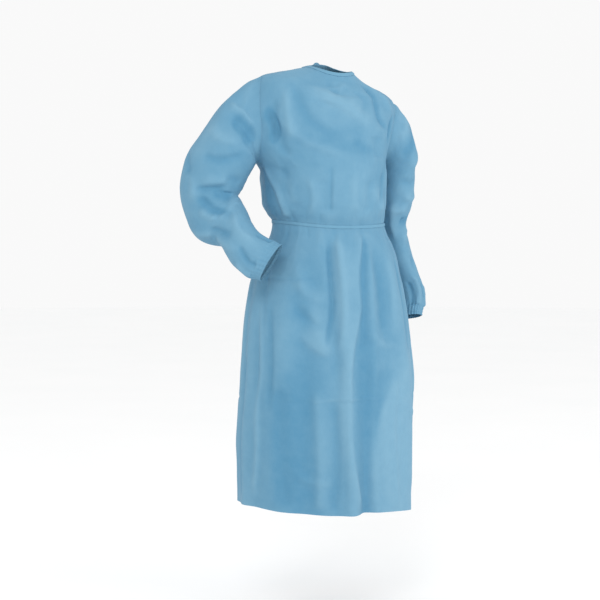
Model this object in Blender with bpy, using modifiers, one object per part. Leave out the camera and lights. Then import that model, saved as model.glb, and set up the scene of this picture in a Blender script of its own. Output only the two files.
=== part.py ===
"""Disposable isolation gown, hollow and filled out as worn: right hand on the hip, left arm down.

Metres, +Z up, the front faces -Y and the wearer's right is -X. The origin is the middle of the
neck opening, where the gown hangs from the neck and shoulders. Each cut piece of cloth is one
wall: its outer face follows the body form or the sleeve, and its inner face lies WALL inside it.
"""

import math
from typing import NamedTuple

import bpy
import numpy as np

WALL = 0.0015  # thickness of a cloth wall
SEAM_GAP = 0.0003  # what parts two pieces at a seam
OVERLAP_LIFT = 0.0045  # how far the outer back panel stands off the inner one
OVERLAP_DEG = 17.0  # how far each back panel passes the middle of the back
OVERLAP_NECK_DEG = 11.0  # the same at the neck, where the panels are narrow
LIFT_RAMP_DEG = 24.0  # over which the outer back panel rises to its lift

FRONT_COLUMNS = 30
BACK_COLUMNS = 17
ARMHOLE_ROWS = 11  # rows from the underarm to the shoulder tip
SLEEVE_RINGS = 20
FRONT_INSET_DEG = 22.0  # how far the armhole cuts into the front, round the body
BACK_INSET_DEG = 22.0
INSET_POWER = 0.7  # below 1 rounds the bottom of the armhole

BELT_WIDTH = 0.008
BELT_THICK = 0.0018
BELT_GAP = 0.0006
BELT_TAIL = 0.235  # hanging length of each end of the belt
NECK_TAIL = 0.120
TAIL_WIDTH = 0.008
TAIL_STANDOFF = 0.0022  # clear of the facets of the panel under a hanging end
BELT_KNOT_CLEAR = 0.0011  # a knot's flat back clears the round of the strip that it closes
NECK_KNOT_CLEAR = 0.0006
BINDING_WIDTH = 0.009
CUFF_LENGTH = 0.022
# each ring of a cuff: how far down it, its share of the sleeve's end, and how deep its gathers are
CUFF_RINGS = ((0.0, 1.0, 0.0), (0.35, 0.97, 0.8), (0.7, 0.94, 1.0), (1.0, 0.93, 1.0))
CUFF_GATHERS = {-1: (11, 0.0006), 1: (22, 0.0016)}  # how many and how deep, right and left

GOWN_BLUE = (0.174, 0.386, 0.571, 1.0)
TIE_BLUE = (0.220, 0.450, 0.640, 1.0)


class Section(NamedTuple):
    """One level round the body. The four sizes are measured from the neck's axis."""

    name: str
    up: float  # distance up the cloth from the hem
    right: float
    left: float
    front: float
    back: float
    z_right: float
    z_left: float
    z_front: float
    z_back: float


def level(name, up, right, left, front, back, z, tilt=(0.0, 0.0, 0.0, 0.0)):
    """A section that lies flat at height z, or tilts a little from it at each of its four sides."""
    return Section(name, up, right, left, front, back, *(z + t for t in tilt))


SECTIONS = (
    level("hem", 0.000, 0.235, 0.229, 0.168, 0.180, -1.132, (0.021, -0.015, 0.001, -0.006)),
    level("shin", 0.100, 0.238, 0.232, 0.167, 0.178, -1.036, (0.010, -0.006, 0.000, -0.003)),
    level("knee", 0.180, 0.239, 0.234, 0.165, 0.176, -0.956),
    level("thigh", 0.330, 0.229, 0.236, 0.158, 0.170, -0.806),
    level("seat", 0.420, 0.225, 0.228, 0.152, 0.166, -0.716),
    level("low_hip", 0.493, 0.219, 0.217, 0.148, 0.163, -0.643),
    level("hip", 0.558, 0.209, 0.206, 0.144, 0.158, -0.578),
    level("high_hip", 0.638, 0.189, 0.189, 0.136, 0.145, -0.498),
    level("flare", 0.683, 0.168, 0.171, 0.127, 0.130, -0.453),
    level("under_belt", 0.710, 0.156, 0.158, 0.119, 0.115, -0.427, (0.004, 0.0, -0.003, 0.002)),
    level("waist", 0.734, 0.152, 0.151, 0.112, 0.104, -0.402, (0.007, 0.0, -0.007, 0.003)),
    level("blouse", 0.760, 0.168, 0.149, 0.125, 0.114, -0.376, (0.003, 0.0, -0.003, 0.001)),
    level("ribs", 0.788, 0.177, 0.147, 0.134, 0.120, -0.348),
    level("bust", 0.841, 0.180, 0.146, 0.139, 0.120, -0.295),
    level("under_arm", 0.871, 0.184, 0.147, 0.139, 0.118, -0.265),
    Section("armpit", 0.896, 0.198, 0.149, 0.138, 0.116, -0.244, -0.239, -0.240, -0.240),
    Section("arm_low", 0.946, 0.220, 0.163, 0.133, 0.119, -0.195, -0.191, -0.191, -0.190),
    Section("arm_mid", 0.996, 0.226, 0.177, 0.124, 0.120, -0.136, -0.147, -0.146, -0.141),
    Section("arm_high", 1.041, 0.210, 0.184, 0.111, 0.112, -0.072, -0.104, -0.107, -0.092),
    Section("tip", 1.071, 0.187, 0.181, 0.103, 0.104, -0.029, -0.078, -0.088, -0.068),
    Section("shoulder", 1.111, 0.148, 0.141, 0.092, 0.090, -0.018, -0.057, -0.067, -0.043),
    Section("slope", 1.151, 0.104, 0.096, 0.079, 0.075, -0.010, -0.040, -0.046, -0.018),
    Section("neck", 1.191, 0.061, 0.057, 0.066, 0.060, 0.000, -0.009, -0.021, 0.010),
)
UP = {section.name: section.up for section in SECTIONS}


class Fold(NamedTuple):
    """A soft ridge, or a trough where its depths are below zero, that runs down the body.

    The angles are measured round the body from the middle of the front, left positive.
    """

    top_up: float
    top_deg: float
    low_up: float
    low_deg: float
    top_depth: float
    low_depth: float
    half_width: float


FOLDS = (
    # the skirt's front, from the right side to the left
    Fold(0.700, -84.0, 0.000, -88.0, 0.002, 0.011, 0.032),
    Fold(0.690, -76.0, 0.240, -73.0, -0.010, -0.004, 0.016),
    Fold(0.690, -50.0, 0.000, -55.0, 0.004, 0.006, 0.034),
    Fold(0.640, -45.0, 0.400, -18.0, 0.006, 0.005, 0.018),
    Fold(0.690, -34.0, 0.000, -34.0, -0.004, -0.008, 0.028),
    Fold(0.730, -17.0, 0.300, -11.0, -0.007, -0.005, 0.012),
    Fold(0.725, -9.0, 0.000, -4.0, 0.007, 0.014, 0.020),
    Fold(0.420, 8.0, 0.000, 9.0, -0.005, -0.024, 0.024),
    Fold(0.735, 15.0, 0.300, 14.0, 0.005, 0.003, 0.011),
    Fold(0.700, 29.0, 0.120, 26.0, -0.007, -0.004, 0.028),
    Fold(0.700, 47.0, 0.000, 46.0, 0.004, 0.010, 0.034),
    Fold(0.690, 68.0, 0.000, 70.0, -0.003, -0.008, 0.026),
    Fold(0.690, 88.0, 0.000, 90.0, 0.003, 0.008, 0.030),
    # the skirt's back, from the left side to the right
    Fold(0.700, 108.0, 0.000, 110.0, -0.005, -0.009, 0.024),
    Fold(0.715, 128.0, 0.000, 128.0, 0.006, 0.012, 0.026),
    Fold(0.715, 146.0, 0.000, 147.0, -0.006, -0.010, 0.022),
    Fold(0.700, -170.0, 0.000, -171.0, -0.004, -0.008, 0.026),
    Fold(0.715, -150.0, 0.000, -151.0, 0.006, 0.012, 0.026),
    Fold(0.715, -131.0, 0.000, -130.0, -0.006, -0.010, 0.022),
    Fold(0.700, -110.0, 0.000, -109.0, 0.005, 0.009, 0.026),
    # the bodice: gathers that rise from the belt and the drag lines below the arms
    Fold(1.040, -58.0, 0.900, -50.0, -0.008, -0.006, 0.014),
    Fold(0.880, -63.0, 0.765, -49.0, -0.006, -0.004, 0.016),
    Fold(1.090, -6.0, 0.960, 26.0, 0.005, 0.004, 0.026),
    Fold(1.060, -22.0, 0.950, 6.0, -0.005, -0.003, 0.022),
    Fold(0.960, 27.0, 0.900, 35.0, -0.005, -0.004, 0.024),
    Fold(0.850, -24.0, 0.762, -22.0, -0.003, -0.005, 0.016),
    Fold(0.850, 21.0, 0.762, 18.0, -0.003, -0.005, 0.016),
    Fold(0.850, 46.0, 0.762, 42.0, 0.003, 0.005, 0.018),
    Fold(0.900, 140.0, 0.765, 144.0, -0.004, -0.007, 0.018),
    Fold(0.900, -165.0, 0.765, -167.0, -0.003, -0.006, 0.018),
    Fold(0.900, -135.0, 0.765, -132.0, -0.004, -0.007, 0.018),
)
FOLD_TAPER = 0.16  # share of a fold's length over which it fades at a free end
HEM_FREE = 0.05  # a fold that ends lower than this runs out through the hem


class Station(NamedTuple):
    """One cut across a sleeve: its inner point, its outer point and half its depth between them."""

    in_x: float
    in_y: float
    in_z: float
    out_x: float
    out_y: float
    out_z: float
    half_depth: float


RIGHT_SLEEVE = (
    Station(-0.2010, 0.006, -0.2470, -0.2360, 0.015, -0.0560, 0.066),
    Station(-0.2025, 0.008, -0.2490, -0.2900, 0.020, -0.1000, 0.071),
    Station(-0.2040, 0.010, -0.2520, -0.3360, 0.027, -0.1640, 0.073),
    Station(-0.2190, 0.020, -0.2840, -0.3720, 0.037, -0.2260, 0.070),
    Station(-0.2310, 0.028, -0.3130, -0.3860, 0.046, -0.2860, 0.067),
    Station(-0.2420, 0.028, -0.3270, -0.3850, 0.051, -0.3310, 0.065),
    Station(-0.2440, 0.020, -0.3350, -0.3750, 0.046, -0.3820, 0.063),
    Station(-0.2430, 0.006, -0.3430, -0.3590, 0.032, -0.4310, 0.061),
    Station(-0.2400, -0.010, -0.3560, -0.3290, 0.008, -0.4500, 0.058),
    Station(-0.2390, -0.030, -0.3770, -0.3090, -0.015, -0.4500, 0.052),
    Station(-0.2370, -0.050, -0.3980, -0.3010, -0.040, -0.4780, 0.047),
    Station(-0.2260, -0.070, -0.4230, -0.2890, -0.065, -0.5060, 0.042),
    Station(-0.2070, -0.090, -0.4380, -0.2690, -0.085, -0.5280, 0.038),
    Station(-0.1960, -0.098, -0.4430, -0.2570, -0.094, -0.5340, 0.036),
)
LEFT_SLEEVE = (
    Station(0.1540, 0.009, -0.2430, 0.2110, 0.010, -0.1010, 0.066),
    Station(0.1570, 0.016, -0.2480, 0.2390, 0.018, -0.1370, 0.074),
    Station(0.1590, 0.024, -0.2560, 0.2550, 0.026, -0.1940, 0.078),
    Station(0.1600, 0.035, -0.2820, 0.2590, 0.035, -0.2540, 0.076),
    Station(0.1580, 0.046, -0.3200, 0.2640, 0.046, -0.3120, 0.073),
    Station(0.1590, 0.056, -0.3580, 0.2610, 0.056, -0.3570, 0.069),
    Station(0.1600, 0.066, -0.3980, 0.2510, 0.066, -0.4010, 0.063),
    Station(0.1780, 0.070, -0.4500, 0.2670, 0.070, -0.4550, 0.060),
    Station(0.1960, 0.071, -0.5000, 0.2830, 0.071, -0.5050, 0.057),
    Station(0.2170, 0.068, -0.5450, 0.3000, 0.067, -0.5500, 0.052),
    Station(0.2340, 0.060, -0.5820, 0.3090, 0.058, -0.5850, 0.045),
    Station(0.2390, 0.050, -0.6130, 0.3080, 0.048, -0.6150, 0.038),
    Station(0.2380, 0.046, -0.6290, 0.3020, 0.044, -0.6300, 0.035),
)


def clear_scene():
    """Removes whatever the file opened with."""
    for obj in list(bpy.data.objects):
        bpy.data.objects.remove(obj, do_unlink=True)


def through(at, knots, values):
    """A monotone cubic through the rows of a table, which never overshoots a row."""
    knots = np.asarray(knots, float)
    values = np.asarray(values, float)
    step = np.diff(knots)
    slope = np.diff(values, axis=0) / step[:, None]
    tangent = np.zeros_like(values)
    same = slope[:-1] * slope[1:] > 0
    total = np.where(same, slope[:-1] + slope[1:], 1.0)
    tangent[1:-1] = np.where(same, 2.0 * slope[:-1] * slope[1:] / total, 0.0)
    tangent[0], tangent[-1] = slope[0], slope[-1]
    at = np.asarray(at, float)
    row = np.clip(np.searchsorted(knots, at, side="right") - 1, 0, len(step) - 1)
    share = ((at - knots[row]) / step[row])[..., None]
    span = step[row][..., None]
    return (
        values[row] * (1 + 2 * share) * (1 - share) ** 2
        + tangent[row] * span * share * (1 - share) ** 2
        + values[row + 1] * share**2 * (3 - 2 * share)
        + tangent[row + 1] * span * share**2 * (share - 1)
    )


def smoothstep(value):
    """0 below 0, 1 above 1 and a soft rise between."""
    value = np.clip(value, 0.0, 1.0)
    return value * value * (3.0 - 2.0 * value)


def fold_height(theta, up, radius):
    """How far all the folds together push the cloth out at each point of the body."""
    total = np.zeros(np.broadcast(theta, up).shape)
    for fold in FOLDS:
        share = (fold.top_up - up) / (fold.top_up - fold.low_up)
        middle = np.radians(fold.top_deg + (fold.low_deg - fold.top_deg) * share)
        away = np.mod(theta - middle + math.pi, 2 * math.pi) - math.pi
        depth = fold.top_depth + (fold.low_depth - fold.top_depth) * np.clip(share, 0, 1)
        fade = smoothstep(share / FOLD_TAPER)
        if fold.low_up > HEM_FREE:
            fade = fade * smoothstep((1.0 - share) / FOLD_TAPER)
        total = total + depth * fade * np.exp(-((away * radius / fold.half_width) ** 2))
    return total


def body_form(theta, up):
    """Points of the body form, theta round it from the middle of the front and up from the hem.

    Each section is an ellipse with its own size on each of its four sides: x = side * sin(theta)
    and y = -depth * cos(theta), and its height runs from the side's to the front's or back's.
    """
    theta, up = np.broadcast_arrays(np.asarray(theta, float), np.asarray(up, float))
    columns = np.array([section[2:] for section in SECTIONS])
    size = through(up, [section.up for section in SECTIONS], columns)
    sine, cosine = np.sin(theta), np.cos(theta)
    side = np.where(sine > 0, size[..., 1], size[..., 0])
    depth = np.where(cosine > 0, size[..., 2], size[..., 3])
    z_side = np.where(sine > 0, size[..., 5], size[..., 4])
    z_depth = np.where(cosine > 0, size[..., 6], size[..., 7])
    push = fold_height(theta, up, 0.5 * (side + depth))
    x = (side + push) * sine
    y = -(depth + push) * cosine
    return np.stack([x, y, z_side * sine**2 + z_depth * cosine**2], axis=-1)


def body_normal(theta, up):
    """Unit normals of the body form, pointing out, from its slopes both ways."""
    turn, rise = 0.02, 0.003
    low = np.clip(np.asarray(up) - rise, 0.0, UP["neck"])
    high = np.clip(np.asarray(up) + rise, 0.0, UP["neck"])
    round_it = body_form(theta + turn, up) - body_form(theta - turn, up)
    up_it = body_form(theta, high) - body_form(theta, low)
    return unit(np.cross(round_it, up_it))


def unit(vectors):
    """Vectors made one long."""
    return vectors / np.linalg.norm(vectors, axis=-1, keepdims=True)


def armhole_up(share):
    """The level of each point up an armhole, closer together at its bottom and its top."""
    tall = UP["tip"] - UP["armpit"]
    return UP["armpit"] + tall * (1.0 - np.cos(math.pi * np.asarray(share))) / 2.0


def inset(up, most_deg):
    """How far round the body the armhole cuts in at each level, in radians."""
    share = np.clip((up - UP["armpit"]) / (UP["tip"] - UP["armpit"]), 0.0, 1.0)
    return math.radians(most_deg) * np.sin(math.pi * share) ** INSET_POWER


def row_levels():
    """The levels of every row of a body panel, with rows at both edges of the belt and binding."""
    half = BELT_WIDTH / 2.0
    belt = UP["waist"]
    skirt = [0.0, 0.085, 0.175, 0.265, 0.350, 0.430, 0.505, 0.570, 0.625, 0.668, 0.700, 0.722]
    bodice = [0.764, 0.782, 0.805, 0.840, 0.880]
    armhole = list(armhole_up(np.linspace(0.0, 1.0, ARMHOLE_ROWS + 1)))
    collar = [1.115, 1.145, 1.172, UP["neck"] - BINDING_WIDTH, UP["neck"]]
    return np.array(skirt + [belt - half, belt, belt + half] + bodice + armhole + collar)


def lift_of(theta_from_back):
    """How far the outer back panel stands off, from the angle that it still has to the middle."""
    start = math.radians(OVERLAP_DEG + LIFT_RAMP_DEG)
    return OVERLAP_LIFT * smoothstep((start - theta_from_back) / math.radians(LIFT_RAMP_DEG))


def front_angles(levels):
    """Angles of the front panel's grid, one row for each level, right side to left side."""
    edge = math.pi / 2.0 - inset(levels, FRONT_INSET_DEG)
    return edge[:, None] * np.linspace(-1.0, 1.0, FRONT_COLUMNS + 1)[None, :]


def back_angles(levels, side):
    """Angles of one back panel's grid, from its side seam to its edge past the middle."""
    share = smoothstep((levels - UP["armpit"]) / (UP["neck"] - UP["armpit"]))
    past = np.radians(OVERLAP_DEG + (OVERLAP_NECK_DEG - OVERLAP_DEG) * share)
    start = math.pi / 2.0 + inset(levels, BACK_INSET_DEG)
    across = np.linspace(0.0, 1.0, BACK_COLUMNS + 1)[None, :]
    return side * (start[:, None] + (math.pi + past - start)[:, None] * across)


def panel_grid(theta, levels, lifted=False):
    """Outer points and normals of a body panel on its grid of angles and levels."""
    up = np.repeat(levels[:, None], theta.shape[1], axis=1)
    points = body_form(theta, up)
    normals = body_normal(theta, up)
    if lifted:
        points = points + lift_of(math.pi - np.abs(theta))[..., None] * normals
    return points, normals


def catmull(stations, at):
    """A smooth curve through the rows of a sleeve table, at places counted in rows."""
    rows = np.array(stations)
    rows = np.vstack([2 * rows[0] - rows[1], rows, 2 * rows[-1] - rows[-2]])
    row = np.clip(np.floor(at).astype(int), 0, len(stations) - 2)
    t = (at - row)[:, None]
    a, b, c, d = rows[row], rows[row + 1], rows[row + 2], rows[row + 3]
    return 0.5 * (
        2 * b + (c - a) * t + (2 * a - 5 * b + 4 * c - d) * t**2 + (3 * b - a - 3 * c + d) * t**3
    )


def armhole_loop(side, columns):
    """The armhole's edge, from the underarm up the front to the shoulder tip and down the back."""
    share = np.linspace(0.0, 1.0, columns // 2 + 1)
    up = armhole_up(share)
    front = side * (math.pi / 2.0 - inset(up, FRONT_INSET_DEG))
    back = side * (math.pi / 2.0 + inset(up, BACK_INSET_DEG))
    theta = np.concatenate([front, back[-2:0:-1]])
    level_of = np.concatenate([up, up[-2:0:-1]])
    return body_form(theta, level_of), body_normal(theta, level_of)


def sleeve_grid(side, stations, columns, rings):
    """Outer points of a sleeve, one row a ring, from the armhole to the start of its cuff.

    Each ring is an ellipse between the table's inner and outer points. The first is the armhole
    itself, and its own shape fades over the next rings.
    """
    loop, _ = armhole_loop(side, columns)
    under, tip = loop[0], loop[columns // 2]
    first = Station(*under, *tip, stations[0].half_depth * 0.92)
    table = (first, *stations)
    cut = catmull(table, np.linspace(0.0, len(table) - 1.0, rings + 1))
    inner, outer, half_depth = cut[:, 0:3], cut[:, 3:6], cut[:, 6]
    inner[0], outer[0] = under, tip
    centre = (inner + outer) / 2.0
    across = (outer - inner) / 2.0
    along = unit(np.gradient(centre, axis=0))
    forward = unit(-side * np.cross(across, along)) * half_depth[:, None]
    angle = math.pi * (1.0 - np.arange(columns) / (columns / 2.0))
    ellipse = (
        centre[:, None]
        + np.cos(angle)[None, :, None] * across[:, None]
        + np.sin(angle)[None, :, None] * forward[:, None]
    )
    height = ((1.0 + np.cos(angle)) / 2.0)[None, :, None]
    carried = (1.0 - height) * (inner - under)[:, None] + height * (outer - tip)[:, None]
    own = loop[None] + carried
    fade = smoothstep(np.linspace(0.0, len(table) - 1.0, rings + 1) / 3.5)[:, None, None]
    points = own * (1.0 - fade) + ellipse * fade
    points[0] = loop
    return points


def tube_normals(points, side):
    """Unit normals of a tube of rings that close on themselves, pointing out."""
    round_it = np.roll(points, -1, axis=1) - np.roll(points, 1, axis=1)
    along = np.gradient(points, axis=0)
    return unit(-side * np.cross(round_it, along))


def edge_step(edge, beside, normals, closed):
    """Half a seam gap at each point of a grid's edge, square to the edge and into the cloth."""
    if closed:
        tangent = np.roll(edge, -1, axis=0) - np.roll(edge, 1, axis=0)
    else:
        tangent = np.gradient(edge, axis=0)
    inward = unit(np.cross(normals, tangent))
    sign = np.sign(np.sum(inward * (beside - edge), axis=-1, keepdims=True))
    return inward * sign * SEAM_GAP / 2.0


def pull_in(points, normals, rows=(False, False), columns=(False, False)):
    """Moves chosen edges of a grid half a seam gap into their own cloth."""
    moved = points.copy()
    closed = not any(columns)
    if rows[0]:
        moved[0] += edge_step(points[0], points[1], normals[0], closed)
    if rows[1]:
        moved[-1] += edge_step(points[-1], points[-2], normals[-1], closed)
    if columns[0]:
        moved[:, 0] += edge_step(points[:, 0], points[:, 1], normals[:, 0], closed)
    if columns[1]:
        moved[:, -1] += edge_step(points[:, -1], points[:, -2], normals[:, -1], closed)
    return moved


def wall_faces(rows, columns, closed):
    """Quads of a wall: an outer grid, an inner grid behind it, and the rims that join them."""
    index = np.arange(rows * columns).reshape(rows, columns)
    if closed:
        index = np.concatenate([index, index[:, :1]], axis=1)
    inner = index + rows * columns

    def quads(a, b, c, d):
        return np.stack([a.ravel(), b.ravel(), c.ravel(), d.ravel()], axis=-1)

    faces = [
        quads(index[:-1, :-1], index[:-1, 1:], index[1:, 1:], index[1:, :-1]),
        quads(inner[:-1, :-1], inner[1:, :-1], inner[1:, 1:], inner[:-1, 1:]),
        quads(index[0, 1:], index[0, :-1], inner[0, :-1], inner[0, 1:]),
        quads(index[-1, :-1], index[-1, 1:], inner[-1, 1:], inner[-1, :-1]),
    ]
    if not closed:
        faces.append(quads(index[:-1, 0], index[1:, 0], inner[1:, 0], inner[:-1, 0]))
        faces.append(quads(index[1:, -1], index[:-1, -1], inner[:-1, -1], inner[1:, -1]))
    return np.concatenate(faces)


def cloth_wall(name, points, normals, material, collection, thickness=WALL, closed=False):
    """One piece of cloth: a loft whose outer face is the grid and whose inner face lies behind it."""
    rows, columns = points.shape[:2]
    corners = np.concatenate(
        [points.reshape(-1, 3), (points - thickness * normals).reshape(-1, 3)]
    )
    mesh = bpy.data.meshes.new(name)
    mesh.from_pydata(corners.tolist(), [], wall_faces(rows, columns, closed).tolist())
    mesh.update()
    obj = bpy.data.objects.new(name, mesh)
    collection.objects.link(obj)
    turn_out(obj)
    mesh.shade_smooth()
    mesh.set_sharp_from_angle(angle=math.radians(50.0))
    mesh.materials.append(material)
    return obj


def turn_out(obj):
    """Turns every face of a closed mesh outwards if its volume comes out below zero."""
    mesh = obj.data
    mesh.calc_loop_triangles()
    place = np.empty(len(mesh.vertices) * 3)
    mesh.vertices.foreach_get("co", place)
    corner = np.empty(len(mesh.loop_triangles) * 3, np.int32)
    mesh.loop_triangles.foreach_get("vertices", corner)
    triangle = place.reshape(-1, 3)[corner.reshape(-1, 3)]
    if np.linalg.det(triangle).sum() < 0:
        mesh.flip_normals()


def cloth_material(name, colour):
    """Spunbond polypropylene: matt, with a little sheen."""
    material = bpy.data.materials.new(name)
    material.use_nodes = True
    shader = material.node_tree.nodes["Principled BSDF"]
    shader.inputs["Base Color"].default_value = colour
    shader.inputs["Roughness"].default_value = 0.75
    shader.inputs["Metallic"].default_value = 0.0
    return material


def seam_normals(side, sleeve_points):
    """Normals along an armhole, half the body's and half the sleeve's, so that both rims match."""
    columns = sleeve_points.shape[1]
    _, of_body = armhole_loop(side, columns)
    of_sleeve = tube_normals(sleeve_points, side)[0]
    return unit(of_body + of_sleeve)


def with_armhole(normals, levels, edge, shared, facing):
    """Puts an armhole's shared normals on one edge column of a body panel."""
    first = int(np.argmin(np.abs(levels - UP["armpit"])))
    half = shared.shape[0] // 2
    up_it = shared[: half + 1] if facing == "front" else np.roll(shared[::-1], 1, axis=0)[: half + 1]
    normals[first : first + half + 1, edge] = up_it
    return normals


def build_front(levels, shared, material, collection):
    """The front, cut in one from neck to hem and from side seam to side seam."""
    points, normals = panel_grid(front_angles(levels), levels)
    normals = with_armhole(normals, levels, 0, shared[-1], "front")
    normals = with_armhole(normals, levels, -1, shared[1], "front")
    points = pull_in(points, normals, columns=(True, True))
    cloth_wall("front_panel", points, normals, material, collection)


def build_backs(levels, shared, material, collection):
    """The two backs, which pass each other down the middle. The left one lies outside."""
    for side, name in ((-1, "back_panel_right"), (1, "back_panel_left")):
        theta = back_angles(levels, side)
        points, normals = panel_grid(theta, levels, lifted=side > 0)
        normals = with_armhole(normals, levels, 0, shared[side], "back")
        points = pull_in(points, normals, columns=(True, False))
        cloth_wall(name, points, normals, material, collection)


def cuff_grid(side, grid, gathers, depth):
    """Outer points of a cuff: the sleeve's last ring carried on and drawn in, gathers round it."""
    columns = 2 * grid.shape[1]
    last = np.empty((columns, 3))
    last[0::2] = grid[-1]
    last[1::2] = (grid[-1] + np.roll(grid[-1], -1, axis=0)) / 2.0
    centre = last.mean(axis=0)
    heading = unit(grid[-1].mean(axis=0) - grid[-3].mean(axis=0))
    wave = np.cos(2 * math.pi * gathers * np.arange(columns) / columns)
    radial = last - centre
    reach = np.linalg.norm(radial, axis=1)
    rings = []
    for along, draw, ripple in CUFF_RINGS:
        scale = draw + ripple * depth * wave / reach
        rings.append(centre + radial * scale[:, None] + heading * CUFF_LENGTH * along)
    return np.array(rings)


def build_sleeve(name, side, grid, shared, cuff, material, collection):
    """A sleeve, sewn into a tube along the underarm and set into its armhole, and its cuff."""
    normals = tube_normals(grid, side)
    cuff_normals = tube_normals(cuff, side)
    last = np.empty_like(cuff_normals[0])
    last[0::2] = normals[-1]
    last[1::2] = normals[-1] + np.roll(normals[-1], -1, axis=0)
    last = unit(unit(last) + cuff_normals[0])
    normals[0], normals[-1], cuff_normals[0] = shared[side], last[0::2], last
    points = pull_in(grid, normals, rows=(True, True))
    cloth_wall(f"sleeve_{name}", points, normals, material, collection, closed=True)
    points = pull_in(cuff, cuff_normals, rows=(True, False))
    cloth_wall(f"cuff_{name}", points, cuff_normals, material, collection, closed=True)


def outer_ring(levels):
    """Points and normals all round the outside of the body: the front, then the left back, the
    outer one, to its edge, then what shows of the right back."""
    up = np.asarray(levels)
    front = front_angles(up)[:, :-1]
    left = back_angles(up, 1)
    right = back_angles(up, -1)
    hidden = np.mod(right, 2 * math.pi) < left[:, -1:] + math.radians(2.0)
    shown = int((~hidden[0]).sum())
    rest = np.mod(right, 2 * math.pi)[:, shown - 1 : 0 : -1]
    theta = np.concatenate([front, left, rest], axis=1)
    height = np.repeat(up[:, None], theta.shape[1], axis=1)
    points, normals = body_form(theta, height), body_normal(theta, height)
    beyond = np.abs(np.mod(theta, 2 * math.pi) - math.pi)
    stepped_down = OVERLAP_LIFT * smoothstep((left[:, -1:] + 0.15 - theta) / 0.15)
    lift = np.where(theta > math.pi, stepped_down, lift_of(beyond))
    lift = np.where(theta < math.pi / 2.0, 0.0, lift)
    return points + lift[..., None] * normals, normals


def build_belt(material, collection):
    """The belt, a folded strip that cinches the waist, made from the panels' points moved out."""
    half = BELT_WIDTH / 2.0
    levels = [UP["waist"] - half, UP["waist"], UP["waist"] + half]
    points, normals = outer_ring(levels)
    points = points + (BELT_GAP + BELT_THICK) * normals
    cloth_wall("belt", points, normals, material, collection, thickness=BELT_THICK, closed=True)


def build_binding(material, collection):
    """The strip that binds the neck edge, made from the panels' points moved out."""
    levels = [UP["neck"] - BINDING_WIDTH, UP["neck"] - BINDING_WIDTH / 2.0, UP["neck"]]
    points, normals = outer_ring(levels)
    points = points + (BELT_GAP + WALL) * normals
    points[-1] += [0.0, 0.0, 0.0008]
    cloth_wall("neck_binding", points, normals, material, collection, closed=True)


def build_tail(name, start_up, start_deg, end_deg, length, stand_off, material, collection):
    """A hanging end of the belt or of the neck ties, laid along the back at its stand-off."""
    up = np.linspace(start_up, start_up - length, 13)
    middle = np.radians(np.linspace(start_deg, end_deg, 13))
    centre = body_form(middle, up)
    outward = body_normal(middle, up)
    along = unit(np.gradient(centre, axis=0))
    sideways = unit(np.cross(along, outward))
    across = np.array([-0.5, 0.0, 0.5]) * TAIL_WIDTH
    lifted = centre + outward * (OVERLAP_LIFT + stand_off + WALL)
    points = lifted[:, None] + sideways[:, None] * across[None, :, None]
    normals = np.repeat(outward[:, None], 3, axis=1)
    cloth_wall(name, points, normals, material, collection)


def build_knot(name, up, size, stand_off, material, collection):
    """The knot in the middle of the back: a soft block that lies flat on the strip that it closes."""
    at = np.array([math.pi]), np.array([up])
    outward = body_normal(*at)[0]
    centre = body_form(*at)[0] + outward * (OVERLAP_LIFT + stand_off + size[1] / 2.0)
    frame = np.stack([[-1.0, 0.0, 0.0], outward, np.cross([-1.0, 0.0, 0.0], outward)])
    bpy.ops.mesh.primitive_cube_add(size=1.0)
    knot = bpy.context.active_object
    knot.name = name
    knot.data.name = name
    for vertex in knot.data.vertices:
        vertex.co = (centre + (np.array(vertex.co) * size) @ frame).tolist()
    bevel = knot.modifiers.new("soft edges", "BEVEL")
    bevel.width = min(size) * 0.36
    bevel.segments = 3
    for other in list(knot.users_collection):
        other.objects.unlink(knot)
    collection.objects.link(knot)
    knot.data.materials.append(material)


def build_ties(material, collection):
    """The knot and the two hanging ends of the belt, and the same at the neck."""
    at = UP["waist"]
    off = BELT_GAP + BELT_THICK + BELT_KNOT_CLEAR
    build_knot("belt_knot", at, (0.030, 0.012, 0.018), off, material, collection)
    for name, start, end, length in (
        ("belt_end_left", 178.6, 172.0, BELT_TAIL),
        ("belt_end_right", 183.8, 188.5, BELT_TAIL * 0.9),
    ):
        build_tail(name, at - 0.0135, start, end, length, 0.004, material, collection)
    at = UP["neck"] - BINDING_WIDTH / 2.0
    off = BELT_GAP + WALL + NECK_KNOT_CLEAR
    build_knot("neck_knot", at, (0.022, 0.008, 0.012), off, material, collection)
    for name, start, end, length in (
        ("neck_end_left", 173.5, 170.5, NECK_TAIL),
        ("neck_end_right", 186.5, 189.5, NECK_TAIL * 0.9),
    ):
        build_tail(name, at - 0.0068, start, end, length, TAIL_STANDOFF, material, collection)


def main():
    """Builds every piece of the gown in its own collection."""
    clear_scene()
    collection = bpy.data.collections.new("isolation_gown")
    bpy.context.scene.collection.children.link(collection)
    cloth = cloth_material("spunbond cloth", GOWN_BLUE)
    strip = cloth_material("tie strip", TIE_BLUE)
    levels = row_levels()
    columns = 2 * ARMHOLE_ROWS
    grids = {
        -1: sleeve_grid(-1, RIGHT_SLEEVE, columns, SLEEVE_RINGS),
        1: sleeve_grid(1, LEFT_SLEEVE, columns, SLEEVE_RINGS),
    }
    shared = {side: seam_normals(side, grid) for side, grid in grids.items()}
    build_front(levels, shared, cloth, collection)
    build_backs(levels, shared, cloth, collection)
    for side, name in ((-1, "right"), (1, "left")):
        cuff = cuff_grid(side, grids[side], *CUFF_GATHERS[side])
        build_sleeve(name, side, grids[side], shared, cuff, cloth, collection)
    build_belt(strip, collection)
    build_binding(strip, collection)
    build_ties(strip, collection)


main()
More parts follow.
